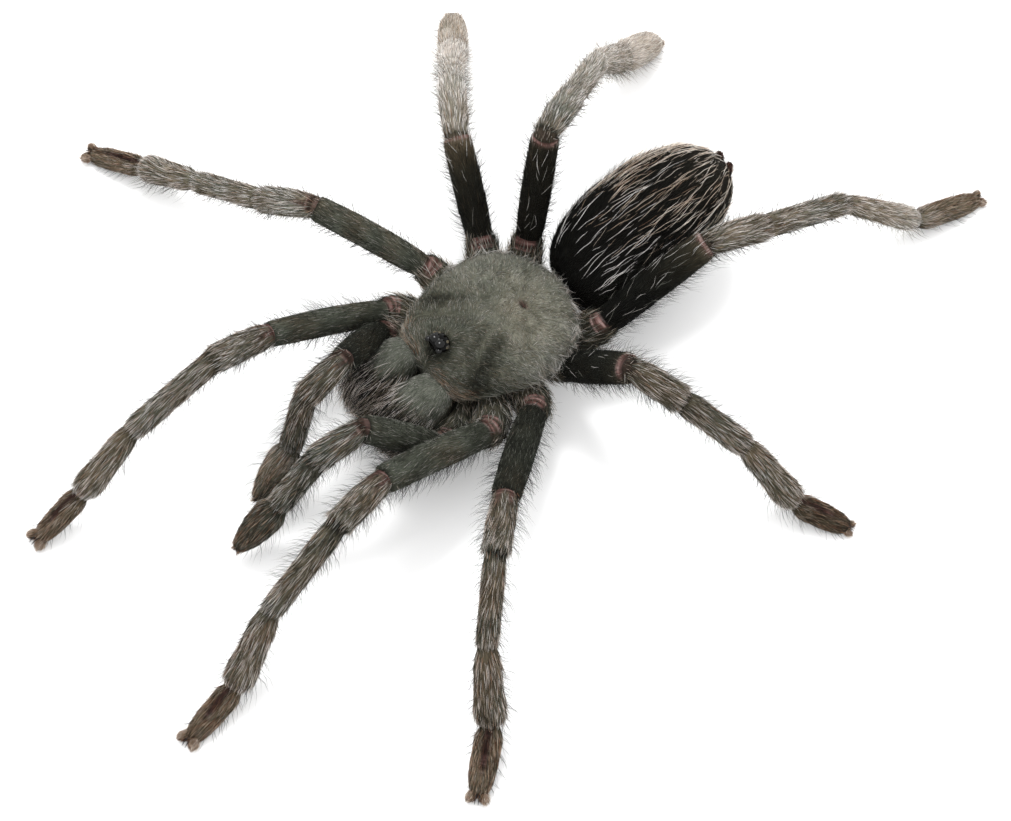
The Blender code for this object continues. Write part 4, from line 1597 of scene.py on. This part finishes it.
@dataclass
class Carapace:
    """The shield over the front body, with its grooves, its pit and its velvet."""

    finishes: Finishes
    groomer: Groomer
    length: float = 24.8
    width: float = 22.4
    rim_z: float = 11.6
    edge: float = 0.7
    crest_z: float = 16.0
    squareness: float = 5.0
    dome_power: float = 0.75
    rear_power: float = 2.6
    head_width: float = 14.2
    head_lift: float = 1.6
    head_forward: float = 8.0
    head_spread: Pair = (5.5, 4.5)
    reach_power: float = 0.8
    pit: Pair = (1.3, -4.7)
    # The bearings from the pit of the spokes that leave it, in degrees from ahead.
    spokes: tuple[float, ...] = (62, 98, 134)
    girth: float = 66.0
    columns: int = 128
    rows: int = 60

    VELVET: ClassVar[tuple[Coat, ...]] = (
        Coat("down", 25.0, 0.42, 0.036, 0.93, 11, 0.3, tone=-0.09, tone_spread=0.13),
        Coat("combed", 9.5, 0.8, 0.033, 0.985, 12, 0.24, tone=0.05, tone_spread=0.31, settle=0.0),
    )
    FRINGE: ClassVar[tuple[Coat, ...]] = (
        Coat("standing", 8.0, 1.2, 0.03, 0.72, 13, 0.6, bends=2, tone_spread=0.26, settle=0.6,
             spread=0.5),
        Coat("long", 2.4, 1.9, 0.032, 0.7, 14, 0.6, bends=3, tone=0.16, wave=0.15, tone_spread=0.2,
             settle=0.6, spread=0.5),
        Coat("fringe", 8.0, 1.0, 0.036, 0.8, 15, 0.35, bends=3, tone=0.02, settle=0.6,
             family=Family.UMBER, tone_spread=0.18),
        Coat("fringe", 4.0, 1.0, 0.036, 0.8, 16, 0.35, bends=3, settle=0.6, family=Family.STRAW,
             tone_spread=0.18),
    )

    def _half_width(self, along: Array) -> Array:
        """The shield's half width, as seen from above.

        Args:
            along: Places from the rear edge (-1) to the front edge (1).

        Returns:
            The half width at each.
        """
        rear = np.maximum(0.0, 1.0 - np.maximum(0.0, -along) ** self.rear_power) ** 0.42
        front = 1.0 - (1.0 - self.head_width / self.width) * np.maximum(0.0, along) ** 1.3
        return self.width / 2 * rear * front

    def _surface(self, angle: Array, height: Array) -> Array:
        """Points of the shield.

        Args:
            angle: Angles from straight ahead.
            height: Heights from -1 to 1.

        Returns:
            The points.
        """
        reach = np.sqrt(np.maximum(0.0, 1.0 - height**2)) ** self.reach_power
        ahead, aside = np.cos(angle), np.sin(angle)
        power = self.squareness
        square = (np.abs(ahead) ** power + np.abs(aside) ** power) ** (-1 / power)
        forward = ahead * square * self.length / 2 * reach
        x = aside * square * self._half_width(np.maximum(-1.0, ahead * square)) * reach
        rim = self.rim_z + self.edge / 2
        spread_x, spread_y = self.head_spread
        head = hump((forward - self.head_forward, spread_y), (x, spread_x))
        dome = np.maximum(height, 0.0) ** self.dome_power
        top = rim + dome * (self.crest_z - rim + self.head_lift * head)
        below = rim - self.edge * np.minimum(1.0, np.maximum(0.0, -3 * height))
        return np.stack([x, -forward, np.where(height > 0, top, below)], axis=-1)

    def _grooves(self, x: Array, forward: Array) -> tuple[Array, Array, Array]:
        """How deep the shield's grooves are, from 0 to 1.

        Args:
            x: The points' places to the left.
            forward: Their places forward.

        Returns:
            The head's side grooves, the spokes behind them, and the pit.
        """
        side = np.abs(x - 0.4)
        # The groove leaves the pit and curves out to the shield's front corner.
        line = 1.0 + 0.011 * np.maximum(0.0, forward + 4.0) ** 2.45
        head = hump((side - line, 1.15)) * smooth_step(-3.5, 1.0, forward)
        from_pit = np.hypot(x - self.pit[0], forward - self.pit[1])
        bearing = np.arctan2(np.abs(x - self.pit[0]), forward - self.pit[1])
        spokes = sum(hump((bearing - math.radians(place), 0.15)) for place in self.spokes)
        spokes = spokes * (smooth_step(1.0, 3.0, from_pit) * smooth_step(10.0, 6.0, from_pit))
        return head, spokes, hump((x - self.pit[0], 0.7), (forward - self.pit[1], 0.38))

    def _comb(self, points: Array) -> Array:
        """The way the velvet lies: out from the middle line and the pit, and down at the edge.

        Args:
            points: The shield's points.

        Returns:
            A direction at each.
        """
        x, forward = points[..., 0], -points[..., 1]
        from_pit = np.stack([x - self.pit[0], -(forward - self.pit[1])], axis=-1)
        out = from_pit / np.maximum(np.linalg.norm(from_pit, axis=-1, keepdims=True), 0.5)
        head = smooth_step(-2.0, 3.0, forward)[..., None]
        over = np.stack([np.tanh((x - 0.3) / 1.5), 0.75 * np.ones_like(x)], axis=-1)
        away = smooth_step(1.0, 7.0, np.linalg.norm(from_pit, axis=-1))[..., None]
        back = np.array([0.0, 0.8])
        flat = (1 - head) * (0.55 * away * out + (1 - 0.5 * away) * back) + head * over
        stray = np.stack([wander(points, 1.7, 5), wander(points, 1.7, 6)], axis=-1)
        stray = stray + 0.7 * np.stack([wander(points, 4.0, 15), wander(points, 4.0, 16)], axis=-1)
        # The rear half is matted: its hairs lie every way about the comb.
        flat = flat + stray * (0.15 + 0.4 * (1 - head))
        down = np.full((*x.shape, 1), -0.25)
        return unit(np.concatenate([flat, down], axis=-1))

    @staticmethod
    def _near_line(
        x: Array, forward: Array, start: Pair, end: Pair, widths: Pair
    ) -> Array:
        """How near points are to a straight line on the shield, seen from above.

        Args:
            x: The points' places to the left.
            forward: Their places forward.
            start: The line's start, left and forward, where it counts least.
            end: Its end.
            widths: How wide it is at its start and end.

        Returns:
            Up to one on the line, fading to none beside it.
        """
        way = np.subtract(end, start)
        share = ((x - start[0]) * way[0] + (forward - start[1]) * way[1]) / (way @ way)
        share = np.clip(share, 0.0, 1.0)
        off = np.hypot(x - start[0] - share * way[0], forward - start[1] - share * way[1])
        return (0.45 + 0.55 * share) * hump((off, widths[0] + (widths[1] - widths[0]) * share))

    def _marks(self, rings: Array, height: Array) -> dict[str, Any]:
        """The shield's marks.

        Args:
            rings: Its points.
            height: Each ring's height from -1 to 1.

        Returns:
            A number for each point, by the marks' names.
        """
        x, forward = rings[..., 0], -rings[..., 1]
        on_top = smooth_step(0.05, 0.25, height)
        head, spokes, pit = self._grooves(x, forward)
        brown = hump((x - 3.0, 5.0), (forward + 3.5, 4.5))
        # The flanks of the head, in and beside its grooves, are the darkest: partly darker hair, partly
        # painted shade.
        flank = self._near_line(x, forward, (4.3, 1.2), (7.7, 8.0), (1.0, 1.6))
        far_flank = self._near_line(x, forward, (-2.8, -1.2), (-7.4, 5.6), (0.8, 1.1))
        eyes = hump((x - 0.2, 1.9), (forward - 9.3, 1.6))
        grows = on_top * (1 - 0.95 * pit) * (1 - smooth_step(0.35, 0.8, eyes))
        rim = smooth_step(0.6, 0.2, height) * smooth_step(-0.05, 0.05, height)
        corner = smooth_step(8.3, 9.6, forward) * smooth_step(1.0, 2.0, np.abs(x - 0.3))
        patches = 0.035 * wander(rings, 2.4, 8) + 0.025 * wander(rings, 1.1, 9)
        return {
            "tone": 0.52 - 0.12 * smooth_step(-1.0, 5.0, forward) - 0.02 * brown + 0.55 * patches
            + 0.06 * smooth_step(1.0, 8.0, x) * smooth_step(2.0, -5.0, forward),
            "warm": np.clip(0.22 + 0.18 * brown + 0.06 * wander(rings, 4.0, 4), 0.0, 1.0),
            # Painted shade in the grooves, the spokes and the pit.
            "shade": on_top * (0.02 * head + 0.05 * spokes + 0.25 * pit + 0.18 * flank
                               + 0.15 * far_flank + 0.3 * eyes),
            "span": 0.6 + 0.4 * smooth_step(4.0, 8.0, np.hypot(x - self.pit[0], forward - self.pit[1])),
            "bare": 0.75 * pit * on_top,
            "down": grows,
            "combed": grows,
            "standing": rim * (1 - 0.7 * flank),
            "long": rim * smooth_step(4.0, -4.0, forward),
            "fringe": rim * corner,
        }

    def build(self) -> None:
        """Builds the shield and its velvet."""
        angle = np.linspace(0.0, 2 * math.pi, self.columns, endpoint=False) + math.pi
        under = np.array([-0.999, -0.9, -0.6, -0.3, -0.12])
        over = np.sin(np.linspace(0.0, math.pi / 2 - 0.012, self.rows - len(under)))
        height = np.concatenate([under, over])[:, None]
        rings = self._surface(angle[None, :], height)
        head, spokes, pit = self._grooves(rings[..., 0], -rings[..., 1])
        lumps = wander(rings * (1.0, 1.0, 0.0), 7.0, 3)
        lift = 0.16 * lumps - 0.55 * head - 0.2 * spokes - 0.9 * pit
        rings[..., 2] += smooth_step(0.05, 0.25, height) * lift
        skin = Skin("carapace_skin", rings, self._comb(rings), grain_of(rings, girth=self.girth),
                    self._marks(rings, height))
        mesh = skin.mesh(self.finishes.velvet)
        add_piece(skin.name, mesh, ("carapace",))
        self.groomer.add("carapace_velvet", [mesh], self.VELVET, "pale_hair")
        self.groomer.add("carapace_fringe", [mesh], self.FRINGE, "pale_hair")


@dataclass
class Jaw:
    """One jaw and its fang: a plump block with velvet on top and a fan of bristles in front."""

    side: Side
    finishes: Finishes
    groomer: Groomer
    length: float = 10.2
    width: float = 7.0
    depth: float = 8.0
    root: Spot = (3.7, 12.2, 9.9)
    dip: float = math.radians(20.0)
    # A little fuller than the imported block, and reaching in under the shield's front edge.
    fuller: float = 0.35
    squareness: float = 2.9
    narrowing: float = 0.16
    thinning: float = 0.34
    arch: float = 0.42
    back: float = 2.2
    girth: float = 24.0
    # The fang's line from the jaw's tip, out, forward and up, and its radii there.
    fang: tuple[Spot, ...] = (
        (0.2, -1.6, -0.9), (0.2, -1.0, -3.1), (0.2, -2.3, -4.3), (0.0, -4.2, -4.9), (-0.3, -6.0, -4.7),
    )
    fang_radius: float = 0.75
    fang_taper: tuple[float, ...] = (1.3, 1.15, 1.0, 0.7, 0.15)

    VELVET: ClassVar[tuple[Coat, ...]] = (
        Coat("down", 20.0, 0.45, 0.038, 0.92, 1, 0.16, tone=-0.1, tone_spread=0.14),
        Coat("pad", 10.0, 0.7, 0.031, 0.96, 7, 0.2, tone=0.06, tone_spread=0.24, settle=0.05),
    )
    BRISTLES: ClassVar[tuple[Coat, ...]] = (
        Coat("combed", 3.0, 1.8, 0.04, 0.86, 2, 0.24, bends=3, tone=-0.14, settle=0.15,
             tone_spread=0.1, tip_gain=0.14, family=Family.ASH),
        Coat("standing", 3.6, 2.5, 0.035, 0.88, 3, 0.26, bends=3, tone=0.58, settle=0.2,
             tone_spread=0.3, tip_gain=0.06, wave=0.12, family=Family.UMBER),
        Coat("standing", 3.4, 2.3, 0.034, 0.82, 6, 0.34, bends=3, tone=-0.08, settle=0.25,
             tone_spread=0.04, tip_gain=0.06, wave=0.12, family=Family.UMBER),
        Coat("fringe", 2.2, 2.6, 0.036, 0.66, 4, 0.3, bends=4, tone=0.1, settle=0.3,
             tone_spread=0.26, tip_gain=0.2, wave=0.12, family=Family.UMBER),
        Coat("long", 2.2, 2.8, 0.04, 0.6, 5, 0.3, bends=3, tone=0.1, settle=0.3, tone_spread=0.2,
             tip_gain=0.25, family=Family.UMBER),
    )

    def _forward(self) -> Array:
        """The way the jaw points."""
        return np.array([0.0, -math.cos(self.dip), -math.sin(self.dip)])

    def _rings(self) -> Array:
        """The jaw's points; the ball's poles are its front and back.

        Returns:
            Rings of them.
        """
        directions = ball(56, 40)[0]
        x, z, y = directions[..., 0], directions[..., 1], -directions[..., 2]
        power = self.squareness
        square = (np.abs(x) ** power + np.abs(y) ** power + np.abs(z) ** power) ** (-1 / power)
        front = np.maximum(0.0, -y * square) ** 2
        across = x * square * (self.width / 2 + self.fuller) * (1.0 - self.narrowing * front)
        along = y * square * self.length / 2
        up = z * square * self.depth / 2 * (1.0 - self.thinning * front)
        up = np.where(up > 0, up * (1.0 + self.arch * (1.0 - 0.8 * front)), up)
        along = np.where(along > 0, along * (1 + self.back / (self.length / 2)), along)
        turned_y = along * math.cos(self.dip) - up * math.sin(self.dip)
        turned_z = along * math.sin(self.dip) + up * math.cos(self.dip)
        out, forward, height = self.root
        middle = np.array([
            self.side.value * out,
            -(forward + math.cos(self.dip) * self.length / 2),
            height - math.sin(self.dip) * self.length / 2,
        ])
        return np.stack([across, turned_y, turned_z], axis=-1) + middle

    def build(self) -> None:
        """Builds the jaw, its velvet and its bristles, and the fang under it."""
        word = self.side.name.lower()
        rings = self._rings()
        local = rings - rings.mean((0, 1))
        forward = self._forward()
        ahead = local @ forward / (self.length / 2)
        upward = local @ np.array([0.0, -math.sin(self.dip), math.cos(self.dip)]) / (self.depth / 2)
        inward = -self.side.value * local[..., 0] / (self.width / 2)
        comb = unit(forward + 0.35 * local / self.length - np.array([0.0, 0.0, 0.1]))
        top = smooth_step(-0.1, 0.5, upward)
        edge = smooth_step(0.45, 0.9, inward)
        marks = {
            "tone": 0.1 + 0.39 * top * smooth_step(0.28, -0.22, ahead + 0.3 * edge)
            + 0.03 * wander(rings, 2.0, 21),
            "warm": 0.06 + 0.4 * (1 - top),
            # Painted shade on the inner edge, where the jaws meet.
            "shade": 0.12 * edge,
            "down": 1.0,
            "combed": smooth_step(-0.55, 0.0, ahead + 0.3 * edge) * smooth_step(-0.7, 0.0, upward),
            "standing": smooth_step(-0.6, 0.1, ahead + 0.2 * edge) * smooth_step(-0.95, -0.2, upward),
            "pad": top,
            "fringe": edge * smooth_step(-0.7, 0.0, ahead) * top,
            "long": smooth_step(0.2, 0.8, -inward) * smooth_step(-0.3, 0.3, ahead) * (1 - top * 0.5),
        }
        skin = Skin(f"chelicera_{word}_skin", rings, comb, grain_of(rings, girth=self.girth), marks)
        mesh = skin.mesh(self.finishes.velvet)
        add_piece(skin.name, mesh, (f"chelicera_{word}",))
        seed = 40 if self.side is Side.LEFT else 60
        self.groomer.add(f"chelicera_{word}_velvet", [mesh], self.VELVET, "pale_hair", seed)
        self.groomer.add(f"chelicera_{word}_bristles", [mesh], self.BRISTLES, "dark_hair", seed)
        self._add_fang(word)

    def _add_fang(self, word: str) -> None:
        """Adds the fang, a smooth horn folded back under the jaw.

        Args:
            word: The jaw's side, as the names have it.
        """
        out, forward, height = self.root
        start = np.array([self.side.value * out, -forward, height]) + self._forward() * self.length
        knots = np.array([start + (self.side.value * o, -f, u) for o, f, u in self.fang])
        line, _ = CentreLine.through(knots, self.fang_taper, 34, 6)
        line.radii = self.fang_radius * line.radii
        skin = line.skin(f"fang_{word}_shell", 20)
        add_piece(skin.name, skin.mesh(self.finishes.fang), (f"fang_{word}",))


@dataclass
class Eyes:
    """Eight eyes together on a low dark mound on the head."""

    finishes: Finishes
    middle: Spot = (0.2, 9.2, 17.2)
    mound: Spot = (1.75, 1.45, 0.95)
    flatness: float = 0.48

    # Each eye: out from the middle line, forward, up from the mound's foot, radius, and if it is pale.
    SPOTS: ClassVar[tuple[tuple[float, float, float, float, bool], ...]] = (
        (0.62, 0.3, 0.7, 0.8, False),
        (1.25, 0.95, 0.28, 0.48, False),
        (1.42, -0.35, 0.3, 0.38, True),
        (0.92, -0.75, 0.6, 0.27, True),
    )

    @staticmethod
    def _egg(centre: Array, size: Sequence[float], columns: int, rows: int) -> Skin:
        """A smooth egg.

        Args:
            centre: Its middle.
            size: Its radii along X, Y and Z.
            columns: How many points a ring has.
            rows: How many rings.

        Returns:
            Its skin.
        """
        way, share = ball(columns, rows)
        rings = way * np.array(size) + centre
        return Skin("eye", rings, unit(rings - centre), grain_of(rings, share * max(size) * 3))

    def build(self) -> None:
        """Builds the mound and the eyes."""
        out, forward, up = self.middle
        middle = np.array([out, -forward, up])
        mound = self._egg(middle, self.mound, 40, 24)
        add_piece("eye_mound", mound.mesh(self.finishes.mound))
        dark, pale = [], []
        for aside, ahead, height, radius, is_pale in self.SPOTS:
            for side in Side:
                centre = middle + np.array([side.value * aside, -ahead, height])
                egg = self._egg(centre, (radius, radius, radius * self.flatness), 20, 12)
                finish = self.finishes.pale_lens if is_pale else self.finishes.lens
                (pale if is_pale else dark).append(egg.mesh(finish))
        add_piece("front_eyes", joined_mesh("front_eyes", dark))
        add_piece("side_eyes", joined_mesh("side_eyes", pale))


@dataclass
class Abdomen:
    """The rear body: black velvet under long pale wavy hair, with the waist and the spinnerets."""

    finishes: Finishes
    groomer: Groomer
    length: float = 30.0
    radius: float = 8.2
    flatten: float = 0.95
    front: Spot = (-2.3, 13.4, 10.0)
    turn: float = -3.0
    rise: float = 11.0
    widest: float = 0.54
    bluntness: float = 2.3
    belly: float = 4.9
    girth: float = 51.0
    waist_start: Spot = (0.0, 10.4, 9.0)
    # The left spinneret's line from the tail, out, forward and up, and its radii there.
    spinneret: tuple[Spot, ...] = (
        (0.9, -0.7, -0.9), (1.05, -1.2, 0.1), (1.15, -1.3, 1.0), (1.2, -1.2, 1.8),
    )
    spinneret_radius: float = 0.66
    spinneret_taper: tuple[float, ...] = (1.0, 1.1, 0.95, 0.6)
    spinneret_back: float = 1.4

    VELVET: ClassVar[tuple[Coat, ...]] = (
        Coat("down", 7.0, 0.9, 0.046, 0.82, 21, 0.25, tone=-0.02, tone_spread=0.06),
        Coat("standing", 2.4, 2.1, 0.023, 0.5, 22, 0.3, tone=0.03, tone_spread=0.06, tip_gain=0.08),
    )
    LONG_HAIR: ClassVar[tuple[Coat, ...]] = (
        Coat("long", 0.34, 5.2, 0.05, 0.94, 23, 0.16, bends=8, tone=0.94, tone_spread=0.08,
             wave=0.2, waves=1.5, settle=0.1, sag=1.0, family=Family.ASH, spread=0.5),
        Coat("combed", 0.6, 4.6, 0.05, 0.94, 24, 0.2, bends=7, tone=0.78, tone_spread=0.16,
             wave=0.2, waves=1.5, settle=0.1, sag=0.8, family=Family.STRAW, spread=0.5),
        Coat("combed", 0.45, 2.6, 0.034, 0.9, 25, 0.3, bends=4, tone=0.62, tone_spread=0.2,
             wave=0.14, settle=0.1, sag=0.5, family=Family.STRAW, spread=0.5),
    )
    SPINNERET_HAIR: ClassVar[Coat] = Coat("down", 7.0, 0.6, 0.04, 0.75, 31, 0.25, tone=0.25,
                                          family=Family.STRAW)

    def __post_init__(self) -> None:
        """Works out the ways back along the abdomen, out to its left, and up."""
        turn, rise = math.radians(180 + self.turn), math.radians(self.rise)
        self.backward = np.array([
            math.sin(turn) * math.cos(rise), -math.cos(turn) * math.cos(rise), math.sin(rise)
        ])
        self.leftward = unit(np.cross(self.backward, UP))
        self.upward = np.cross(self.leftward, self.backward)

    def _rings(self) -> Array:
        """The abdomen's points; the ball's first pole is its tail.

        Returns:
            Rings of them.
        """
        directions = ball(72, 64)[0]
        along = (1.0 - np.cos(math.pi * (directions[..., 2] + 1.0) / 2)) / 2
        side_length = np.where(along < self.widest, self.widest, 1.0 - self.widest)
        beyond = np.minimum(1.0, np.abs(along - self.widest) / side_length)
        radius = self.radius * np.sqrt(np.maximum(0.0, 1.0 - beyond**self.bluntness))
        around = np.arctan2(directions[..., 1], directions[..., 0])
        # The belly is fuller low on its left, down to the hips behind it.
        low_left = np.maximum(0.0, np.cos(around + 0.6)) * hump((along - 0.11, 0.18))
        radius = radius + self.belly * low_left
        x, y = np.cos(around) * radius, np.sin(around) * radius * self.flatten
        return (
            np.array(self.front) + along[..., None] * self.length * self.backward
            + x[..., None] * self.leftward + y[..., None] * self.upward
        )

    def build(self) -> None:
        """Builds the abdomen, its hair, the waist and the spinnerets."""
        rings = self._rings()
        local = rings - np.array(self.front)
        back = local @ self.backward
        along = back / self.length
        upward = local @ self.upward / (self.radius * self.flatten)
        outward = unit(local - back[..., None] * self.backward)
        # Little dents and folds of a dried skin.
        dents = 0.12 * np.sin(along * 26 + 3 * upward) * np.sin(6 * upward + 1.3)
        rings = rings + outward * (dents * np.sin(math.pi * along))[..., None]
        tail = smooth_step(0.55, 1.0, along)
        marks = {
            "tone": 0.025 + 0.05 * tail,
            "warm": 0.3 + 0.6 * tail,
            "down": 1.0,
            "combed": smooth_step(0.12, 0.6, along) * smooth_step(-0.7, -0.1, upward)
            * (0.7 + 1.3 * smooth_step(0.1, 0.8, -(local @ self.leftward) / self.radius)),
            "standing": 1.0,
            "long": smooth_step(-0.55, 0.0, upward) * smooth_step(0.0, 0.15, along)
            * smooth_step(0.6, 0.2, along),
            "span": 1.0 - 0.5 * smooth_step(0.6, 1.0, along),
        }
        skin = Skin("abdomen_skin", rings, unit(self.backward + 0.12 * self.upward),
                    grain_of(rings, girth=self.girth), marks)
        mesh = skin.mesh(self.finishes.velvet)
        add_piece(skin.name, mesh, ("abdomen",))
        self.groomer.add("abdomen_velvet", [mesh], self.VELVET, "dark_hair")
        self.groomer.add("abdomen_long_hair", [mesh], self.LONG_HAIR, "pale_hair")
        for side in Side:
            self._add_spinneret(side)
        self._add_waist()

    def _add_spinneret(self, side: Side) -> None:
        """Adds a spinneret at the tail: a tapering tube with two joints.

        Args:
            side: Its side.
        """
        word = side.name.lower()
        tail = np.array(self.front) + self.backward * (self.length - self.spinneret_back)
        knots = np.array([tail + (side.value * o, -f, u) for o, f, u in self.spinneret])
        line, places = CentreLine.through(knots, self.spinneret_taper, 24, 3)
        joints = 1 - 0.1 * hump((places - 1.1, 0.12)) - 0.1 * hump((places - 2.1, 0.12))
        line.radii = self.spinneret_radius * line.radii * joints
        skin = line.skin(
            f"spinneret_{word}_skin", 20, tone=0.16, warm=1.0, bare=0.5, shade=0.2, down=1.0
        )
        mesh = skin.mesh(self.finishes.velvet)
        add_piece(skin.name, mesh, (f"spinneret_{word}",))
        self.groomer.add(f"spinneret_{word}_hair", [mesh], (self.SPINNERET_HAIR,), "pale_hair", side.value)

    def _add_waist(self) -> None:
        """The waist, a short tube with faint rings."""
        start, end = np.array(self.waist_start), np.array(self.front) - self.backward * 1.05
        share = np.linspace(0.0, 1.0, 14)[:, None]
        line = CentreLine(start + share * (end - start), 1.3 * (1 + 0.08 * np.sin(share[:, 0] * 16)))
        skin = line.skin("pedicel_skin", 24, tone=0.3, warm=1.0, bare=0.6)
        add_piece(skin.name, skin.mesh(self.finishes.velvet), ("pedicel",))


@dataclass
class Underside:
    """The plate under the front body, and the soft sides that join it to the shield."""

    finishes: Finishes
    groomer: Groomer
    length: float = 12.6
    width: float = 8.6
    middle_z: float = 5.4
    thickness: float = 1.5
    reach_power: float = 0.8

    HAIR: ClassVar[Coat] = Coat("down", 3.5, 1.5, 0.038, 0.6, 35, 0.35, tone=0.05, tone_spread=0.2,
                                tip_gain=0.15)

    def _plate(self, directions: Array) -> Array:
        """The plate: a shield with a blunt front.

        Args:
            directions: Directions from the middle.

        Returns:
            A point for each.
        """
        angle = np.arctan2(directions[..., 0], -directions[..., 1])
        reach = np.hypot(directions[..., 0], directions[..., 1]) ** self.reach_power
        along = np.cos(angle)
        narrowing = 0.35 * np.maximum(0.0, along) ** 2 + 0.25 * np.maximum(0.0, -along) ** 3
        x = np.sin(angle) * self.width / 2 * (1.0 - narrowing) * reach
        y = -along * self.length / 2 * reach
        return np.stack([x, y, self.middle_z + directions[..., 2] * self.thickness / 2], axis=-1)

    @staticmethod
    def _sides(directions: Array) -> Array:
        """The soft body between the plate and the shield.

        Args:
            directions: Directions from the middle.

        Returns:
            A point for each.
        """
        height = (directions[..., 2] + 1) / 2
        wide, long = 4.0 + 5.4 * height**0.7, 6.0 + 5.2 * height**0.7
        level = directions[..., :2]
        flat = level / np.maximum(np.linalg.norm(level, axis=-1, keepdims=True), 1e-6)
        reach = np.clip(np.hypot(directions[..., 0], directions[..., 1]) * 1.25, 0.0, 1.0) ** 0.5
        x, y = flat[..., 0] * wide * reach, flat[..., 1] * long * reach
        return np.stack([x, y, 6.2 + 6.0 * height], axis=-1)

    def build(self) -> None:
        """Builds the plate, the soft sides and their hair."""
        directions, share = ball(48, 24)
        for name, place, slot, stands_for, tone, bare in (
            ("sternum_skin", self._plate, "underside", ("sternum",), 0.16, 0.0),
            ("soft_sides", self._sides, "membrane", (), 0.18, 0.2),
        ):
            rings = place(directions)
            marks = {"tone": tone, "warm": 0.8, "bare": bare, "down": 1.0}
            comb = unit(np.array([0.0, 1.0, -0.3]))
            mesh = Skin(name, rings, comb, grain_of(rings, share * 10.0), marks).mesh(self.finishes.velvet)
            add_piece(name, mesh, stands_for)
            self.groomer.add(f"{name}_hair", [mesh], (self.HAIR,), "dark_hair")


@dataclass
class Studio:
    """A pale floor, a soft box above, and the camera of the photograph."""

    lens: float = 119.64
    sensor: float = 36.0
    elevation: float = 60.0
    azimuth: float = 54.0
    camera_mm: Spot = (204.72, -146.20, 423.94)
    floor_m: float = 6.0
    key_power: float = 5.0
    key_size: float = 0.22
    key_place: Spot = (-0.36, 0.16, 0.85)
    sky: float = 1.7

    def build(self) -> None:
        """Builds the floor, the light, the sky and the camera."""
        bpy.context.scene.view_settings.view_transform = "Standard"
        self._add_floor()
        self._add_light()
        self._add_camera()

    def _add_light(self) -> None:
        """A small soft box high up on the far side, in a white room."""
        scene = bpy.context.scene
        light = bpy.data.lights.new("soft_box", "AREA")
        light.shape, light.size, light.energy = "SQUARE", self.key_size, self.key_power
        lamp = bpy.data.objects.new("soft_box", light)
        lamp.location = self.key_place
        lamp.rotation_euler = (-Vector(self.key_place)).to_track_quat("-Z", "Y").to_euler()
        scene.collection.objects.link(lamp)
        sky = bpy.data.worlds.new("white_room")
        sky.use_nodes = True
        back = sky.node_tree.nodes["Background"]
        back.inputs["Color"].default_value = (1.0, 1.0, 1.0, 1.0)
        back.inputs["Strength"].default_value = self.sky
        scene.world = sky

    def _add_camera(self) -> None:
        """The camera, placed from the middle of the shield."""
        lens = bpy.data.cameras.new("camera")
        lens.lens, lens.sensor_width = self.lens, self.sensor
        lens.clip_start, lens.clip_end = 0.01, 20.0
        camera = bpy.data.objects.new("camera", lens)
        camera.location = Vector(self.camera_mm) * MM + Vector(CENTRE)
        camera.rotation_euler = (math.radians(90.0 - self.elevation), 0.0, math.radians(self.azimuth))
        bpy.context.scene.collection.objects.link(camera)
        bpy.context.scene.camera = camera

    def _add_floor(self) -> None:
        """The floor: matt white card."""
        half = self.floor_m / 2
        corners = [(-half, -half, 0.0), (half, -half, 0.0), (half, half, 0.0), (-half, half, 0.0)]
        mesh = bpy.data.meshes.new("floor")
        mesh.from_pydata(corners, [], [(0, 1, 2, 3)])
        mesh.materials.append(CardFinish().make())
        floor = bpy.data.objects.new("floor", mesh)
        bpy.context.scene.collection.objects.link(floor)


def main() -> None:
    """Builds the whole scene."""
    logging.basicConfig(level=logging.INFO, format="%(message)s")
    Studio().build()
    finishes = Finishes()
    groomer = Groomer(finishes.hair)
    Carapace(finishes, groomer).build()
    Eyes(finishes).build()
    for side in Side:
        Jaw(side, finishes, groomer).build()
    Underside(finishes, groomer).build()
    Abdomen(finishes, groomer).build()
    for number, name in enumerate(POSES, 1):
        Limb(name, finishes, groomer, number).build()


if __name__ == "__main__":
    main()
